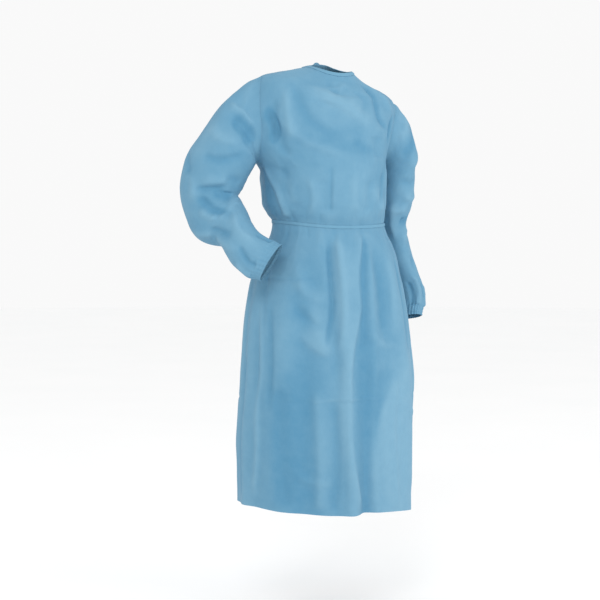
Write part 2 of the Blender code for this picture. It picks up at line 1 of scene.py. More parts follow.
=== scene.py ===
"""Disposable isolation gown, dressed: crisp spunbond cloth with creases, seams, gathers and ties.

Every surface is a function of two parameters. Round the body they are theta, the angle from the
middle of the front with the wearer's left positive, and up, the distance up the cloth from the
hem. Round a sleeve they are the angle from the underarm over the front, and t, from 0 at the
armhole to 1 where the cuff starts. Metres, +Z up, the front faces -Y, the wearer's right is -X.

The main folds and the creases are placed from the picture, and noise adds the small
buckles. How far each point stands off the plain form is kept in the mesh as its relief, which the
cloth's finish turns into painted shade and painted highlight: darker in troughs, paler on ridges.
The painted shading patches are soft patches of painted shade and painted light that only that
relief holds, with no height of their own.
"""

import logging
import math
from dataclasses import dataclass, field
from enum import Enum
from itertools import product
from typing import Any

import bpy
import numpy as np
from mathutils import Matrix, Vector
from numpy.typing import NDArray


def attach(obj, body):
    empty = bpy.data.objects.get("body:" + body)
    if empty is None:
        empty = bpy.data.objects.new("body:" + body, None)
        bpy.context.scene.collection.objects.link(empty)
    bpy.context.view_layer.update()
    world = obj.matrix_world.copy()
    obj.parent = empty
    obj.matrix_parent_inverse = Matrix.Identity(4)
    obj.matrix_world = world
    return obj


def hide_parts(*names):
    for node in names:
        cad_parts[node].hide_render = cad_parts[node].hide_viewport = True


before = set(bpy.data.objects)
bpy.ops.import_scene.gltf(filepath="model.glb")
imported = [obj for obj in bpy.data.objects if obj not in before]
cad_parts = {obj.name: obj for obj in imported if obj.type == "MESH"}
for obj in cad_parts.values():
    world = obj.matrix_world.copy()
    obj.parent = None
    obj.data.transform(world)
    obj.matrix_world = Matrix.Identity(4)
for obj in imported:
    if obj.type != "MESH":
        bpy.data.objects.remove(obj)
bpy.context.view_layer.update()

Array = NDArray[np.float64]
Ints = NDArray[np.int64]
LOG = logging.getLogger("gown")
BODY = "root"
TURN = 2.0 * math.pi


class Side(Enum):
    """Which side of the wearer, with the sign of its x."""

    RIGHT = -1
    LEFT = 1

    @property
    def label(self) -> str:
        """The side as it stands in the names of pieces."""
        return self.name.lower()


class Hold(Enum):
    """How a piece of cloth is held."""

    DRAPED = "draped"
    GATHERED = "gathered"
    HUNG = "hung"


@dataclass(frozen=True)
class Section:
    """One level round the body: its reach from the neck's axis and its height on four sides."""

    name: str
    up: float
    sizes: tuple[float, float, float, float]  # right, left, front, back
    heights: tuple[float, float, float, float]


SECTIONS = (
    Section("hem", 0.0, (0.235, 0.229, 0.168, 0.18), (-1.111, -1.147, -1.131, -1.138)),
    Section("shin", 0.1, (0.238, 0.232, 0.167, 0.178), (-1.026, -1.042, -1.036, -1.039)),
    Section("knee", 0.18, (0.239, 0.234, 0.165, 0.176), (-0.956, -0.956, -0.956, -0.956)),
    Section("thigh", 0.33, (0.229, 0.236, 0.158, 0.17), (-0.806, -0.806, -0.806, -0.806)),
    Section("seat", 0.42, (0.225, 0.228, 0.152, 0.166), (-0.716, -0.716, -0.716, -0.716)),
    Section("low_hip", 0.493, (0.219, 0.217, 0.148, 0.163), (-0.643, -0.643, -0.643, -0.643)),
    Section("hip", 0.558, (0.209, 0.206, 0.144, 0.158), (-0.578, -0.578, -0.578, -0.578)),
    Section("high_hip", 0.638, (0.189, 0.189, 0.136, 0.145), (-0.498, -0.498, -0.498, -0.498)),
    Section("flare", 0.683, (0.168, 0.171, 0.127, 0.13), (-0.453, -0.453, -0.453, -0.453)),
    Section("under_belt", 0.71, (0.156, 0.158, 0.119, 0.115), (-0.423, -0.427, -0.43, -0.425)),
    Section("waist", 0.734, (0.152, 0.151, 0.112, 0.104), (-0.395, -0.402, -0.409, -0.399)),
    Section("blouse", 0.76, (0.168, 0.149, 0.125, 0.114), (-0.373, -0.376, -0.379, -0.375)),
    Section("ribs", 0.788, (0.177, 0.147, 0.134, 0.12), (-0.348, -0.348, -0.348, -0.348)),
    Section("bust", 0.841, (0.18, 0.146, 0.139, 0.12), (-0.295, -0.295, -0.295, -0.295)),
    Section("under_arm", 0.871, (0.184, 0.147, 0.139, 0.118), (-0.265, -0.265, -0.265, -0.265)),
    Section("armpit", 0.896, (0.198, 0.149, 0.138, 0.116), (-0.244, -0.239, -0.24, -0.24)),
    Section("arm_low", 0.946, (0.22, 0.163, 0.133, 0.119), (-0.195, -0.191, -0.191, -0.19)),
    Section("arm_mid", 0.996, (0.226, 0.177, 0.124, 0.12), (-0.136, -0.147, -0.146, -0.141)),
    Section("arm_high", 1.041, (0.21, 0.184, 0.111, 0.112), (-0.072, -0.104, -0.107, -0.092)),
    Section("tip", 1.071, (0.187, 0.181, 0.103, 0.104), (-0.029, -0.078, -0.088, -0.068)),
    Section("shoulder", 1.111, (0.148, 0.141, 0.092, 0.09), (-0.018, -0.057, -0.067, -0.043)),
    Section("slope", 1.151, (0.104, 0.096, 0.079, 0.075), (-0.01, -0.04, -0.046, -0.018)),
    Section("neck", 1.191, (0.061, 0.057, 0.066, 0.06), (0.0, -0.009, -0.021, 0.01)),
)
UP = {section.name: section.up for section in SECTIONS}


@dataclass(frozen=True)
class Fold:
    """A main fold that runs down the body, a trough where its depths are below zero."""

    top: tuple[float, float]  # up, degrees round from the middle of the front
    low: tuple[float, float]
    depths: tuple[float, float]  # at its top and at its low end
    half_width: float


FOLDS = (
    Fold((0.7, -84.0), (0.0, -88.0), (0.002, 0.011), 0.032),
    Fold((0.69, -76.0), (0.24, -73.0), (-0.01, -0.004), 0.016),
    Fold((0.69, -50.0), (0.0, -55.0), (0.004, 0.006), 0.034),
    Fold((0.64, -45.0), (0.4, -18.0), (0.006, 0.005), 0.018),
    Fold((0.69, -34.0), (0.0, -34.0), (-0.004, -0.008), 0.028),
    Fold((0.73, -17.0), (0.3, -11.0), (-0.007, -0.005), 0.012),
    Fold((0.725, -9.0), (0.0, -4.0), (0.007, 0.014), 0.02),
    Fold((0.42, 8.0), (0.0, 9.0), (-0.005, -0.024), 0.024),
    Fold((0.735, 15.0), (0.3, 14.0), (0.005, 0.003), 0.011),
    Fold((0.7, 29.0), (0.12, 26.0), (-0.007, -0.004), 0.028),
    Fold((0.7, 47.0), (0.0, 46.0), (0.004, 0.01), 0.034),
    Fold((0.69, 68.0), (0.0, 70.0), (-0.003, -0.008), 0.026),
    Fold((0.69, 88.0), (0.0, 90.0), (0.003, 0.008), 0.03),
    Fold((0.7, 108.0), (0.0, 110.0), (-0.005, -0.009), 0.024),
    Fold((0.715, 128.0), (0.0, 128.0), (0.006, 0.012), 0.026),
    Fold((0.715, 146.0), (0.0, 147.0), (-0.006, -0.01), 0.022),
    Fold((0.7, -170.0), (0.0, -171.0), (-0.004, -0.008), 0.026),
    Fold((0.715, -150.0), (0.0, -151.0), (0.006, 0.012), 0.026),
    Fold((0.715, -131.0), (0.0, -130.0), (-0.006, -0.01), 0.022),
    Fold((0.7, -110.0), (0.0, -109.0), (0.005, 0.009), 0.026),
    Fold((1.04, -58.0), (0.9, -50.0), (-0.008, -0.006), 0.014),
    Fold((0.88, -63.0), (0.765, -49.0), (-0.006, -0.004), 0.016),
    Fold((1.09, -6.0), (0.96, 26.0), (0.005, 0.004), 0.026),
    Fold((1.06, -22.0), (0.95, 6.0), (-0.005, -0.003), 0.022),
    Fold((0.96, 27.0), (0.9, 35.0), (-0.005, -0.004), 0.024),
    Fold((0.85, -24.0), (0.762, -22.0), (-0.003, -0.005), 0.016),
    Fold((0.85, 21.0), (0.762, 18.0), (-0.003, -0.005), 0.016),
    Fold((0.85, 46.0), (0.762, 42.0), (0.003, 0.005), 0.018),
    Fold((0.9, 140.0), (0.765, 144.0), (-0.004, -0.007), 0.018),
    Fold((0.9, -165.0), (0.765, -167.0), (-0.003, -0.006), 0.018),
    Fold((0.9, -135.0), (0.765, -132.0), (-0.004, -0.007), 0.018),
)
FOLD_TAPER = 0.16  # share of its length over which a fold's end dies away
HEM_FREE = 0.05  # a fold that ends below this level runs out through the hem


@dataclass(frozen=True)
class Crease:
    """A listed crease: a ridge along a path, or a trough where its depth is below zero."""

    path: tuple[tuple[float, float], ...]  # degrees round, and up the cloth or t down a sleeve
    depth: float
    width: float
    lean: float = 0.0  # above 0, a path that runs down is steeper towards the wearer's left
    fade: float = 0.28  # share of its length over which each end dies away


@dataclass(frozen=True)
class Station:
    """One cut across a sleeve: its inner point, its outer point and half its depth."""

    inner: tuple[float, float, float]
    outer: tuple[float, float, float]
    half_depth: float


RIGHT_STATIONS = (
    Station((-0.201, 0.006, -0.247), (-0.236, 0.015, -0.056), 0.066),
    Station((-0.2025, 0.008, -0.249), (-0.29, 0.02, -0.1), 0.071),
    Station((-0.204, 0.01, -0.252), (-0.336, 0.027, -0.164), 0.073),
    Station((-0.219, 0.02, -0.284), (-0.372, 0.037, -0.226), 0.07),
    Station((-0.231, 0.028, -0.313), (-0.386, 0.046, -0.286), 0.067),
    Station((-0.242, 0.028, -0.327), (-0.385, 0.051, -0.331), 0.065),
    Station((-0.244, 0.02, -0.335), (-0.375, 0.046, -0.382), 0.063),
    Station((-0.243, 0.006, -0.343), (-0.359, 0.032, -0.431), 0.061),
    Station((-0.24, -0.01, -0.356), (-0.329, 0.008, -0.45), 0.058),
    Station((-0.239, -0.03, -0.377), (-0.309, -0.015, -0.45), 0.052),
    Station((-0.237, -0.05, -0.398), (-0.301, -0.04, -0.478), 0.047),
    Station((-0.226, -0.07, -0.423), (-0.289, -0.065, -0.506), 0.042),
    Station((-0.207, -0.09, -0.438), (-0.269, -0.085, -0.528), 0.038),
    Station((-0.196, -0.098, -0.443), (-0.257, -0.094, -0.534), 0.036),
)
LEFT_STATIONS = (
    Station((0.154, 0.009, -0.243), (0.211, 0.01, -0.101), 0.066),
    Station((0.157, 0.016, -0.248), (0.239, 0.018, -0.137), 0.074),
    Station((0.159, 0.024, -0.256), (0.255, 0.026, -0.194), 0.078),
    Station((0.16, 0.035, -0.282), (0.259, 0.035, -0.254), 0.076),
    Station((0.158, 0.046, -0.32), (0.264, 0.046, -0.312), 0.073),
    Station((0.159, 0.056, -0.358), (0.261, 0.056, -0.357), 0.069),
    Station((0.16, 0.066, -0.398), (0.251, 0.066, -0.401), 0.063),
    Station((0.178, 0.07, -0.45), (0.267, 0.07, -0.455), 0.06),
    Station((0.196, 0.071, -0.5), (0.283, 0.071, -0.505), 0.057),
    Station((0.217, 0.068, -0.545), (0.3, 0.067, -0.55), 0.052),
    Station((0.234, 0.06, -0.582), (0.309, 0.058, -0.585), 0.045),
    Station((0.239, 0.05, -0.613), (0.308, 0.048, -0.615), 0.038),
    Station((0.238, 0.046, -0.629), (0.302, 0.044, -0.63), 0.035),
)

# Creases of the front and of the sides, seen from the front, then those of the back.
BODY_CREASES = (
    # the chest: what the raised right shoulder drags across to the left side
    Crease(((-36, 1.11), (-6, 1.046), (21, 0.975)), 0.004, 0.017, -0.5),
    Crease(((-52, 1.116), (-36, 1.04), (-22, 0.982), (-2, 0.941)), -0.0034, 0.015, 0.3),
    Crease(((-1, 0.955), (12, 0.93), (32, 0.914)), -0.0028, 0.014, 0.4),
    Crease(((-52, 1.002), (-32, 0.941), (-2, 0.9)), 0.0032, 0.014, -0.4),
    Crease(
        ((-66, 1.024), (-58, 1.003), (-54, 0.984), (-55, 0.96), (-62, 0.93)),
        -0.005, 0.0095, 0.55, 0.3,
    ),
    Crease(((-50, 1.07), (-43, 1.0), (-45, 0.94)), 0.0038, 0.011, 0.0),
    Crease(
        ((42, 1.156), (33, 1.11), (29, 1.066), (31, 1.01), (48, 0.975)),
        -0.0044, 0.008, 0.3, 0.2,
    ),
    Crease(((47, 1.15), (44, 1.08), (58, 1.01)), 0.003, 0.011, 0.0),
    Crease(((60, 1.03), (52, 0.985), (57, 0.93)), -0.0055, 0.01, -0.3, 0.35),
    Crease(((52, 1.088), (72, 1.078), (94, 1.07)), -0.0034, 0.018),
    Crease(((12, 1.12), (16, 1.06), (10, 1.01)), -0.0022, 0.01),
    Crease(((-20, 1.15), (-14, 1.11), (0, 1.085)), -0.002, 0.008),
    Crease(((5, 1.16), (-4, 1.128), (-22, 1.112)), 0.0016, 0.009),
    # the bodice down to the belt
    Crease(((-17, 0.886), (-18, 0.838), (-18, 0.788), (-18, 0.765)), -0.0019, 0.0042, 0.6, 0.2),
    Crease(
        ((-86, 0.89), (-79, 0.85), (-69, 0.812), (-64, 0.775), (-62, 0.745)),
        0.0036, 0.009, -0.7, 0.12,
    ),
    Crease(((-61, 0.87), (-49, 0.775)), 0.0028, 0.014),
    Crease(((23, 0.835), (34, 0.8), (50, 0.757)), 0.0036, 0.016, -0.4),
    Crease(((54, 0.88), (44, 0.83), (36, 0.77)), -0.003, 0.011, 0.2),
    Crease(((5, 0.88), (2, 0.815), (6, 0.752)), 0.0022, 0.01, 0.3),
    Crease(((-38, 0.862), (-33, 0.8), (-36, 0.752)), 0.0025, 0.01, -0.3),
    Crease(((70, 0.9), (62, 0.83), (68, 0.752)), 0.003, 0.011, 0.4),
    Crease(((86, 0.88), (78, 0.83), (84, 0.76)), -0.003, 0.01),
    # the skirt's front
    Crease(((-20, 0.716), (-16, 0.57), (-15, 0.516), (-19, 0.42)), -0.0036, 0.006, 0.4, 0.12),
    Crease(((-13, 0.716), (-9, 0.58), (-8, 0.5), (-12, 0.4)), 0.003, 0.009, -0.5, 0.12),
    Crease(
        ((12, 0.72), (3, 0.62), (3, 0.515), (-3, 0.415), (-6, 0.307), (-5, 0.147), (3, 0.0)),
        0.0045, 0.011, 0.75, 0.06,
    ),
    Crease(((15, 0.714), (9, 0.62), (8, 0.52), (4, 0.4)), -0.0032, 0.008, -0.5, 0.12),
    Crease(((-43, 0.6), (-34, 0.56), (-19, 0.54)), 0.003, 0.014, -0.4),
    Crease(((-40, 0.47), (-28, 0.43), (-15, 0.4)), 0.0034, 0.015, -0.5),
    Crease(((-46, 0.54), (-34, 0.5), (-20, 0.47)), -0.003, 0.012, 0.2),
    Crease(
        ((-77, 0.576), (-69, 0.397), (-72, 0.294), (-70, 0.168), (-75, 0.02)),
        0.0042, 0.01, 0.5, 0.1,
    ),
    Crease(((-64, 0.56), (-60, 0.4), (-62, 0.25)), -0.0034, 0.01, 0.2),
    Crease(((-52, 0.34), (-50, 0.18), (-47, 0.0)), -0.005, 0.024, 0.2, 0.12),
    Crease(((-27, 0.33), (-24, 0.16), (-25, 0.0)), 0.0036, 0.014, -0.4, 0.12),
    Crease(((-15, 0.3), (-13, 0.15), (-16, 0.0)), -0.0026, 0.01, 0.2, 0.12),
    Crease(((22, 0.7), (26, 0.56), (22, 0.42)), -0.003, 0.015, 0.2),
    Crease(((36, 0.69), (38, 0.56), (33, 0.43)), 0.003, 0.013, -0.5),
    Crease(((52, 0.69), (54, 0.52), (50, 0.36)), -0.0034, 0.012, 0.3),
    Crease(((20, 0.38), (17, 0.2), (20, 0.0)), -0.0032, 0.014, -0.3, 0.12),
    Crease(((33, 0.36), (30, 0.18), (34, 0.0)), 0.0036, 0.012, 0.5, 0.12),
    Crease(((58, 0.42), (60, 0.2), (57, 0.0)), -0.0036, 0.012, 0.2, 0.12),
    Crease(((74, 0.64), (77, 0.44), (73, 0.2)), 0.0036, 0.012, 0.5),
    Crease(((30, 0.3), (44, 0.262), (60, 0.24)), 0.0022, 0.012),
    Crease(((8, 0.47), (22, 0.432), (38, 0.424)), 0.002, 0.011),
    Crease(((-44, 0.12), (-30, 0.088), (-14, 0.09)), 0.0022, 0.012),
    # the fold lines that the gown was packed with
    Crease(
        ((-66, 0.296), (-30, 0.29), (10, 0.291), (52, 0.287), (86, 0.292)),
        -0.0006, 0.004, 0.5, 0.08,
    ),
    Crease(((-32, 0.289), (-14, 0.297), (4, 0.295), (22, 0.293)), 0.0014, 0.0035, 0.5, 0.12),
    Crease(((-88, 0.602), (-50, 0.598), (-24, 0.6)), -0.001, 0.004, 0.4, 0.2),
    Crease(((-7, 0.398), (-8, 0.2), (-8, 0.03)), -0.0009, 0.004, 0.4, 0.1),
    Crease(((100, 0.296), (140, 0.29), (184, 0.292)), -0.0013, 0.004, 0.5, 0.08),
    Crease(((-100, 0.29), (-140, 0.296), (-172, 0.292)), -0.0013, 0.004, 0.5, 0.08),
    Crease(((104, 0.604), (140, 0.598), (180, 0.601)), -0.001, 0.004, 0.4, 0.2),
    # the sides and the back of the skirt
    Crease(((94, 0.66), (97, 0.44), (95, 0.18)), -0.004, 0.012, 0.3),
    Crease(((112, 0.7), (116, 0.5), (112, 0.26)), 0.004, 0.012, 0.5),
    Crease(((122, 0.42), (119, 0.2), (122, 0.0)), 0.004, 0.013, -0.5, 0.12),
    Crease(((138, 0.712), (136, 0.54), (139, 0.36)), -0.0036, 0.01, 0.3),
    Crease(((156, 0.712), (158, 0.5), (154, 0.24)), 0.004, 0.011, 0.5),
    Crease(((163, 0.33), (160, 0.15), (164, 0.0)), -0.0036, 0.012, 0.0, 0.12),
    Crease(((-176, 0.7), (-178, 0.48), (-175, 0.2)), 0.003, 0.01, 0.3),
    Crease(((-160, 0.712), (-162, 0.5), (-158, 0.25)), 0.0038, 0.012, -0.5),
    Crease(((-141, 0.712), (-139, 0.54), (-142, 0.34)), 0.004, 0.011, 0.4),
    Crease(((-137, 0.32), (-141, 0.15), (-138, 0.0)), -0.0036, 0.012, 0.0, 0.12),
    Crease(((-121, 0.7), (-118, 0.48), (-122, 0.22)), -0.004, 0.011, 0.3),
    Crease(((-101, 0.68), (-99, 0.46), (-103, 0.2)), 0.004, 0.012, 0.5),
    Crease(((-92, 0.42), (-94, 0.2), (-91, 0.0)), -0.0036, 0.012, 0.0, 0.12),
    Crease(((120, 0.56), (136, 0.52), (152, 0.516)), 0.0026, 0.013),
    Crease(((-150, 0.42), (-132, 0.392), (-116, 0.396)), 0.0026, 0.013),
    # the back of the bodice, drawn in by the belt and pulled across the shoulders
    Crease(((104, 1.02), (128, 0.98), (156, 0.968)), -0.0036, 0.014, 0.3),
    Crease(((108, 0.96), (132, 0.93), (160, 0.93)), 0.0034, 0.014, -0.4),
    Crease(((118, 0.99), (121, 0.945), (112, 0.905)), -0.006, 0.011, 0.3, 0.35),
    Crease(((-104, 1.04), (-126, 0.99), (-152, 0.972)), -0.0038, 0.014, 0.3),
    Crease(((-108, 0.975), (-132, 0.94), (-158, 0.936)), 0.0034, 0.014, -0.4),
    Crease(((-118, 1.0), (-122, 0.95), (-112, 0.905)), -0.0066, 0.011, 0.3, 0.35),
    Crease(((126, 1.14), (142, 1.09), (160, 1.06)), 0.0028, 0.012),
    Crease(((-130, 1.145), (-146, 1.095), (-160, 1.07)), 0.0028, 0.012),
    Crease(((112, 0.88), (122, 0.82), (118, 0.752)), 0.0036, 0.012, 0.4),
    Crease(((130, 0.85), (134, 0.8), (131, 0.752)), -0.0034, 0.01),
    Crease(((158, 0.88), (154, 0.815), (158, 0.752)), 0.0034, 0.011, -0.4),
    Crease(((172, 0.86), (174, 0.8), (171, 0.752)), -0.003, 0.009),
    Crease(((-112, 0.88), (-120, 0.82), (-116, 0.752)), 0.0036, 0.012, -0.4),
    Crease(((-146, 0.87), (-150, 0.81), (-147, 0.752)), 0.0034, 0.011, 0.4),
    Crease(((-99, 0.86), (-103, 0.8), (-98, 0.752)), -0.0034, 0.01),
)

# Soft patches of painted shade and painted light, as depths that only the finish reads: below zero
# painted shade where shade falls and where the cloth lies double or against what is under it, above
# zero painted light where it hangs clear and light comes through.
BODY_PAINTED_SHADING = (
    Crease(((-40, 0.43), (-41, 0.22), (-42, -0.1)), -0.0062, 0.05),
    Crease(((14, 0.56), (9, 0.44), (8, 0.34), (2, 0.22), (-4, 0.08), (-4, -0.1)), -0.007, 0.03),
    Crease(((76, 0.44), (48, 0.3), (36, 0.15), (32, -0.2)), 0.012, 0.055, -0.2),
    Crease(((42, 0.35), (24, 0.262), (17, 0.15), (16, -0.1)), 0.009, 0.022, -0.6),
    Crease(((-66, 1.02), (-57, 0.996), (-55, 0.966), (-61, 0.934)), -0.011, 0.012, 0.6, 0.2),
    Crease(((-34, 1.12), (-12, 1.05), (6, 0.985)), 0.0036, 0.04),
    Crease(((-54, 0.955), (-30, 0.945), (-8, 0.93), (32, 0.888)), -0.0034, 0.018),
    Crease(((-44, 1.14), (-26, 1.09), (-40, 1.02)), -0.0022, 0.03),
    Crease(((-94, 0.9), (-86, 0.83), (-78, 0.74)), -0.007, 0.026, -0.4, 0.12),
    Crease(((-12, 0.725), (-10, 0.6), (-9, 0.43)), 0.006, 0.011, 0.4),
    Crease(((6, 0.72), (9, 0.66), (6, 0.56), (6, 0.44)), -0.006, 0.022),
    Crease(((-34, 0.69), (-38, 0.56), (-36, 0.47)), -0.003, 0.04),
    Crease(((-30, 0.56), (-25, 0.47), (-20, 0.4)), 0.005, 0.022),
    Crease(((44, 0.9), (52, 0.84), (44, 0.77)), -0.0024, 0.03),
    Crease(((150, 0.43), (146, 0.2), (150, -0.1)), -0.0046, 0.05),
    Crease(((-148, 0.42), (-150, 0.2), (-146, -0.1)), -0.0046, 0.05),
    Crease(((112, 0.46), (110, 0.2), (112, -0.2)), 0.006, 0.05),
    Crease(((150, 1.08), (140, 1.0), (160, 0.94)), 0.003, 0.035),
    Crease(((-150, 1.08), (-138, 1.0), (-158, 0.93)), -0.003, 0.035),
)

RIGHT_CREASES = (
    # the sleeve cap and the upper arm, held out by the bent elbow
    Crease(((182, 0.04), (182, 0.15), (186, 0.3)), -0.0026, 0.032),
    Crease(((150, 0.128), (130, 0.11), (108, 0.075), (88, 0.03)), 0.0046, 0.01, 0.6),
    Crease(((130, 0.15), (100, 0.118), (70, 0.075)), -0.0056, 0.015, 0.2),
    Crease(((158, 0.2), (120, 0.215), (80, 0.18)), 0.004, 0.014, -0.4),
    Crease(((140, 0.27), (105, 0.265), (60, 0.21)), -0.0036, 0.011, 0.3),
    Crease(((165, 0.33), (144, 0.37), (132, 0.49)), 0.004, 0.013, 0.3),
    Crease(((136, 0.395), (104, 0.38), (68, 0.355)), -0.0044, 0.009, 0.4, 0.3),
    Crease(((86, 0.325), (66, 0.312), (44, 0.318)), -0.0022, 0.01),
    Crease(((126, 0.352), (96, 0.338), (66, 0.308)), 0.0028, 0.011, -0.3),
    # round the bent elbow: folds that spread from the crook
    Crease(((98, 0.395), (70, 0.45), (46, 0.545)), -0.003, 0.013, 0.2),
    Crease(((16, 0.545), (44, 0.6), (66, 0.61)), 0.0016, 0.01, -0.3),
    Crease(((46, 0.655), (76, 0.674), (106, 0.655)), 0.0016, 0.01),
    Crease(((128, 0.42), (106, 0.505), (84, 0.61), (72, 0.755)), -0.0048, 0.01, 0.3),
    Crease(((128, 0.5), (112, 0.57), (98, 0.68)), 0.0034, 0.01, -0.4),
    Crease(((192, 0.27), (158, 0.322), (140, 0.44)), -0.0034, 0.011, 0.2),
    Crease(((134, 0.64), (120, 0.74), (88, 0.795)), -0.004, 0.009, 0.4),
    Crease(((160, 0.7), (140, 0.77), (110, 0.86)), 0.0036, 0.01, 0.0),
    Crease(((60, 0.7), (74, 0.8), (60, 0.9)), 0.0034, 0.01, 0.3),
    Crease(((172, 0.56), (150, 0.62), (142, 0.7)), 0.0038, 0.012, 0.4),
    Crease(((100, 0.84), (120, 0.92), (112, 0.99)), -0.003, 0.007, 0.0, 0.15),
    Crease(((150, 0.86), (160, 0.93), (156, 0.99)), 0.003, 0.007, 0.0, 0.15),
    Crease(((40, 0.86), (30, 0.93), (36, 0.99)), -0.003, 0.007, 0.0, 0.15),
    # the sleeve's back
    Crease(((210, 0.1), (250, 0.13), (300, 0.1)), -0.0044, 0.014, 0.2),
    Crease(((200, 0.2), (246, 0.235), (300, 0.2)), 0.004, 0.013, -0.3),
    Crease(((214, 0.34), (256, 0.35), (306, 0.31)), -0.0044, 0.012, 0.3),
    Crease(((208, 0.42), (252, 0.445), (320, 0.43)), 0.0044, 0.011, 0.0),
    Crease(((212, 0.49), (260, 0.5), (330, 0.47)), -0.005, 0.01, 0.3),
    Crease(((206, 0.58), (252, 0.57), (320, 0.52)), 0.0042, 0.01, -0.3),
    Crease(((222, 0.66), (262, 0.69), (310, 0.7)), -0.0034, 0.01, 0.0),
    Crease(((214, 0.8), (258, 0.83), (300, 0.88)), 0.0034, 0.01, 0.0),
)

# Painted shade and painted light on the right sleeve: soft patches that only the finish reads,
# darker where shade falls, paler where light falls.
RIGHT_PAINTED_SHADING = (
    Crease(((122, 0.15), (92, 0.11), (64, 0.125)), -0.008, 0.026),
    Crease(((160, 0.17), (150, 0.23), (148, 0.3)), 0.004, 0.022),
    Crease(((96, 0.395), (66, 0.46), (40, 0.56)), -0.005, 0.016),
    Crease(((134, 0.4), (108, 0.505), (84, 0.61), (66, 0.77)), -0.004, 0.012),
    Crease(((60, 0.8), (80, 0.88), (70, 0.98)), 0.003, 0.02),
    Crease(((214, 0.48), (262, 0.5), (330, 0.47)), -0.005, 0.02),
)

LEFT_CREASES = (
    # the cap, the hanging upper arm and the slack above the elbow
    Crease(((146, 0.11), (146, 0.24), (146, 0.34)), -0.0044, 0.026, 0.0, 0.4),
    Crease(((96, 0.028), (140, 0.032), (186, 0.036)), 0.003, 0.014),
    Crease(((150, 0.06), (112, 0.1), (80, 0.07)), 0.0036, 0.013, 0.3),
    Crease(((142, 0.13), (108, 0.17), (60, 0.15)), -0.0036, 0.013, 0.2),
    Crease(((146, 0.21), (114, 0.25), (70, 0.22)), 0.003, 0.014, -0.4),
    Crease(((136, 0.31), (104, 0.33), (56, 0.3)), -0.003, 0.011, 0.3),
    Crease(((146, 0.38), (116, 0.4), (76, 0.37)), 0.003, 0.012, -0.4),
    Crease(((142, 0.46), (116, 0.5), (84, 0.49)), -0.0046, 0.009, 0.3, 0.22),
    Crease(((110, 0.43), (70, 0.45), (30, 0.44)), 0.0034, 0.011, 0.0),
    Crease(((54, 0.38), (64, 0.5), (72, 0.62)), 0.0036, 0.011, 0.5),
    Crease(((146, 0.55), (122, 0.57), (92, 0.62)), 0.0032, 0.011, -0.4),
    Crease(((142, 0.64), (120, 0.68), (96, 0.74)), -0.0032, 0.009, 0.3),
    Crease(((120, 0.8), (130, 0.86), (140, 0.93)), -0.0036, 0.008, 0.3),
    Crease(((90, 0.76), (96, 0.88), (88, 0.98)), 0.0032, 0.008, 0.0, 0.15),
    Crease(((160, 0.8), (166, 0.9), (160, 0.99)), 0.0032, 0.008, 0.0, 0.15),
    Crease(((60, 0.8), (66, 0.9), (62, 0.99)), -0.003, 0.007, 0.0, 0.15),
    # the sleeve's back
    Crease(((206, 0.1), (250, 0.14), (300, 0.12)), -0.0042, 0.014, 0.2),
    Crease(((200, 0.24), (244, 0.27), (296, 0.24)), 0.0038, 0.013, -0.3),
    Crease(((214, 0.36), (256, 0.39), (304, 0.36)), -0.004, 0.012, 0.3),
    Crease(((202, 0.46), (250, 0.49), (310, 0.46)), 0.0042, 0.011, 0.0),
    Crease(((210, 0.55), (256, 0.56), (310, 0.53)), -0.0046, 0.01, 0.3),
    Crease(((206, 0.68), (252, 0.7), (300, 0.69)), 0.0034, 0.01, 0.0),
    Crease(((230, 0.8), (246, 0.88), (238, 0.98)), -0.0034, 0.008, 0.0, 0.15),
    Crease(((280, 0.82), (290, 0.9), (284, 0.98)), 0.0034, 0.008, 0.0, 0.15),
)

# Painted shade and painted light on the left sleeve: soft patches that only the finish reads,
# darker where shade falls, paler where light falls.
LEFT_PAINTED_SHADING = (
    Crease(((150, 0.13), (108, 0.17), (60, 0.15)), -0.003, 0.02),
    Crease(((150, 0.32), (104, 0.35), (56, 0.32)), 0.003, 0.03),
    Crease(((160, 0.46), (122, 0.5), (84, 0.49)), -0.004, 0.014),
    Crease(((200, 0.55), (256, 0.57), (310, 0.54)), -0.004, 0.018),
)


def unit(vectors: Array) -> Array:
    """Vectors made one long."""
    return vectors / np.linalg.norm(vectors, axis=-1, keepdims=True)


def bell(ratio: Array) -> Array:
    """A bell curve, 1 at 0: e to the power of less the ratio squared."""
    return np.exp(-(ratio**2))


def wrapped(angle: Array) -> Array:
    """An angle brought to between less half a turn and half a turn."""
    return np.mod(angle + math.pi, TURN) - math.pi


def turns(count: int) -> Array:
    """Even angles round a circle, from 0."""
    return TURN * np.arange(count) / count


def along_rows(column: Array, columns: int) -> Array:
    """One number a row, repeated along each row."""
    return np.repeat(column[:, None], columns, axis=1)


def run_of(path: Array) -> Array:
    """The distance along a path of points, from 0 at its start."""
    return np.concatenate([[0.0], np.cumsum(np.linalg.norm(np.diff(path, axis=0), axis=1))])


def smoothstep(value: Array | float) -> Array:
    """0 below 0, 1 above 1 and a soft rise between: 3 v squared less 2 v cubed."""
    value = np.clip(value, 0.0, 1.0)
    return value * value * (3.0 - 2.0 * value)


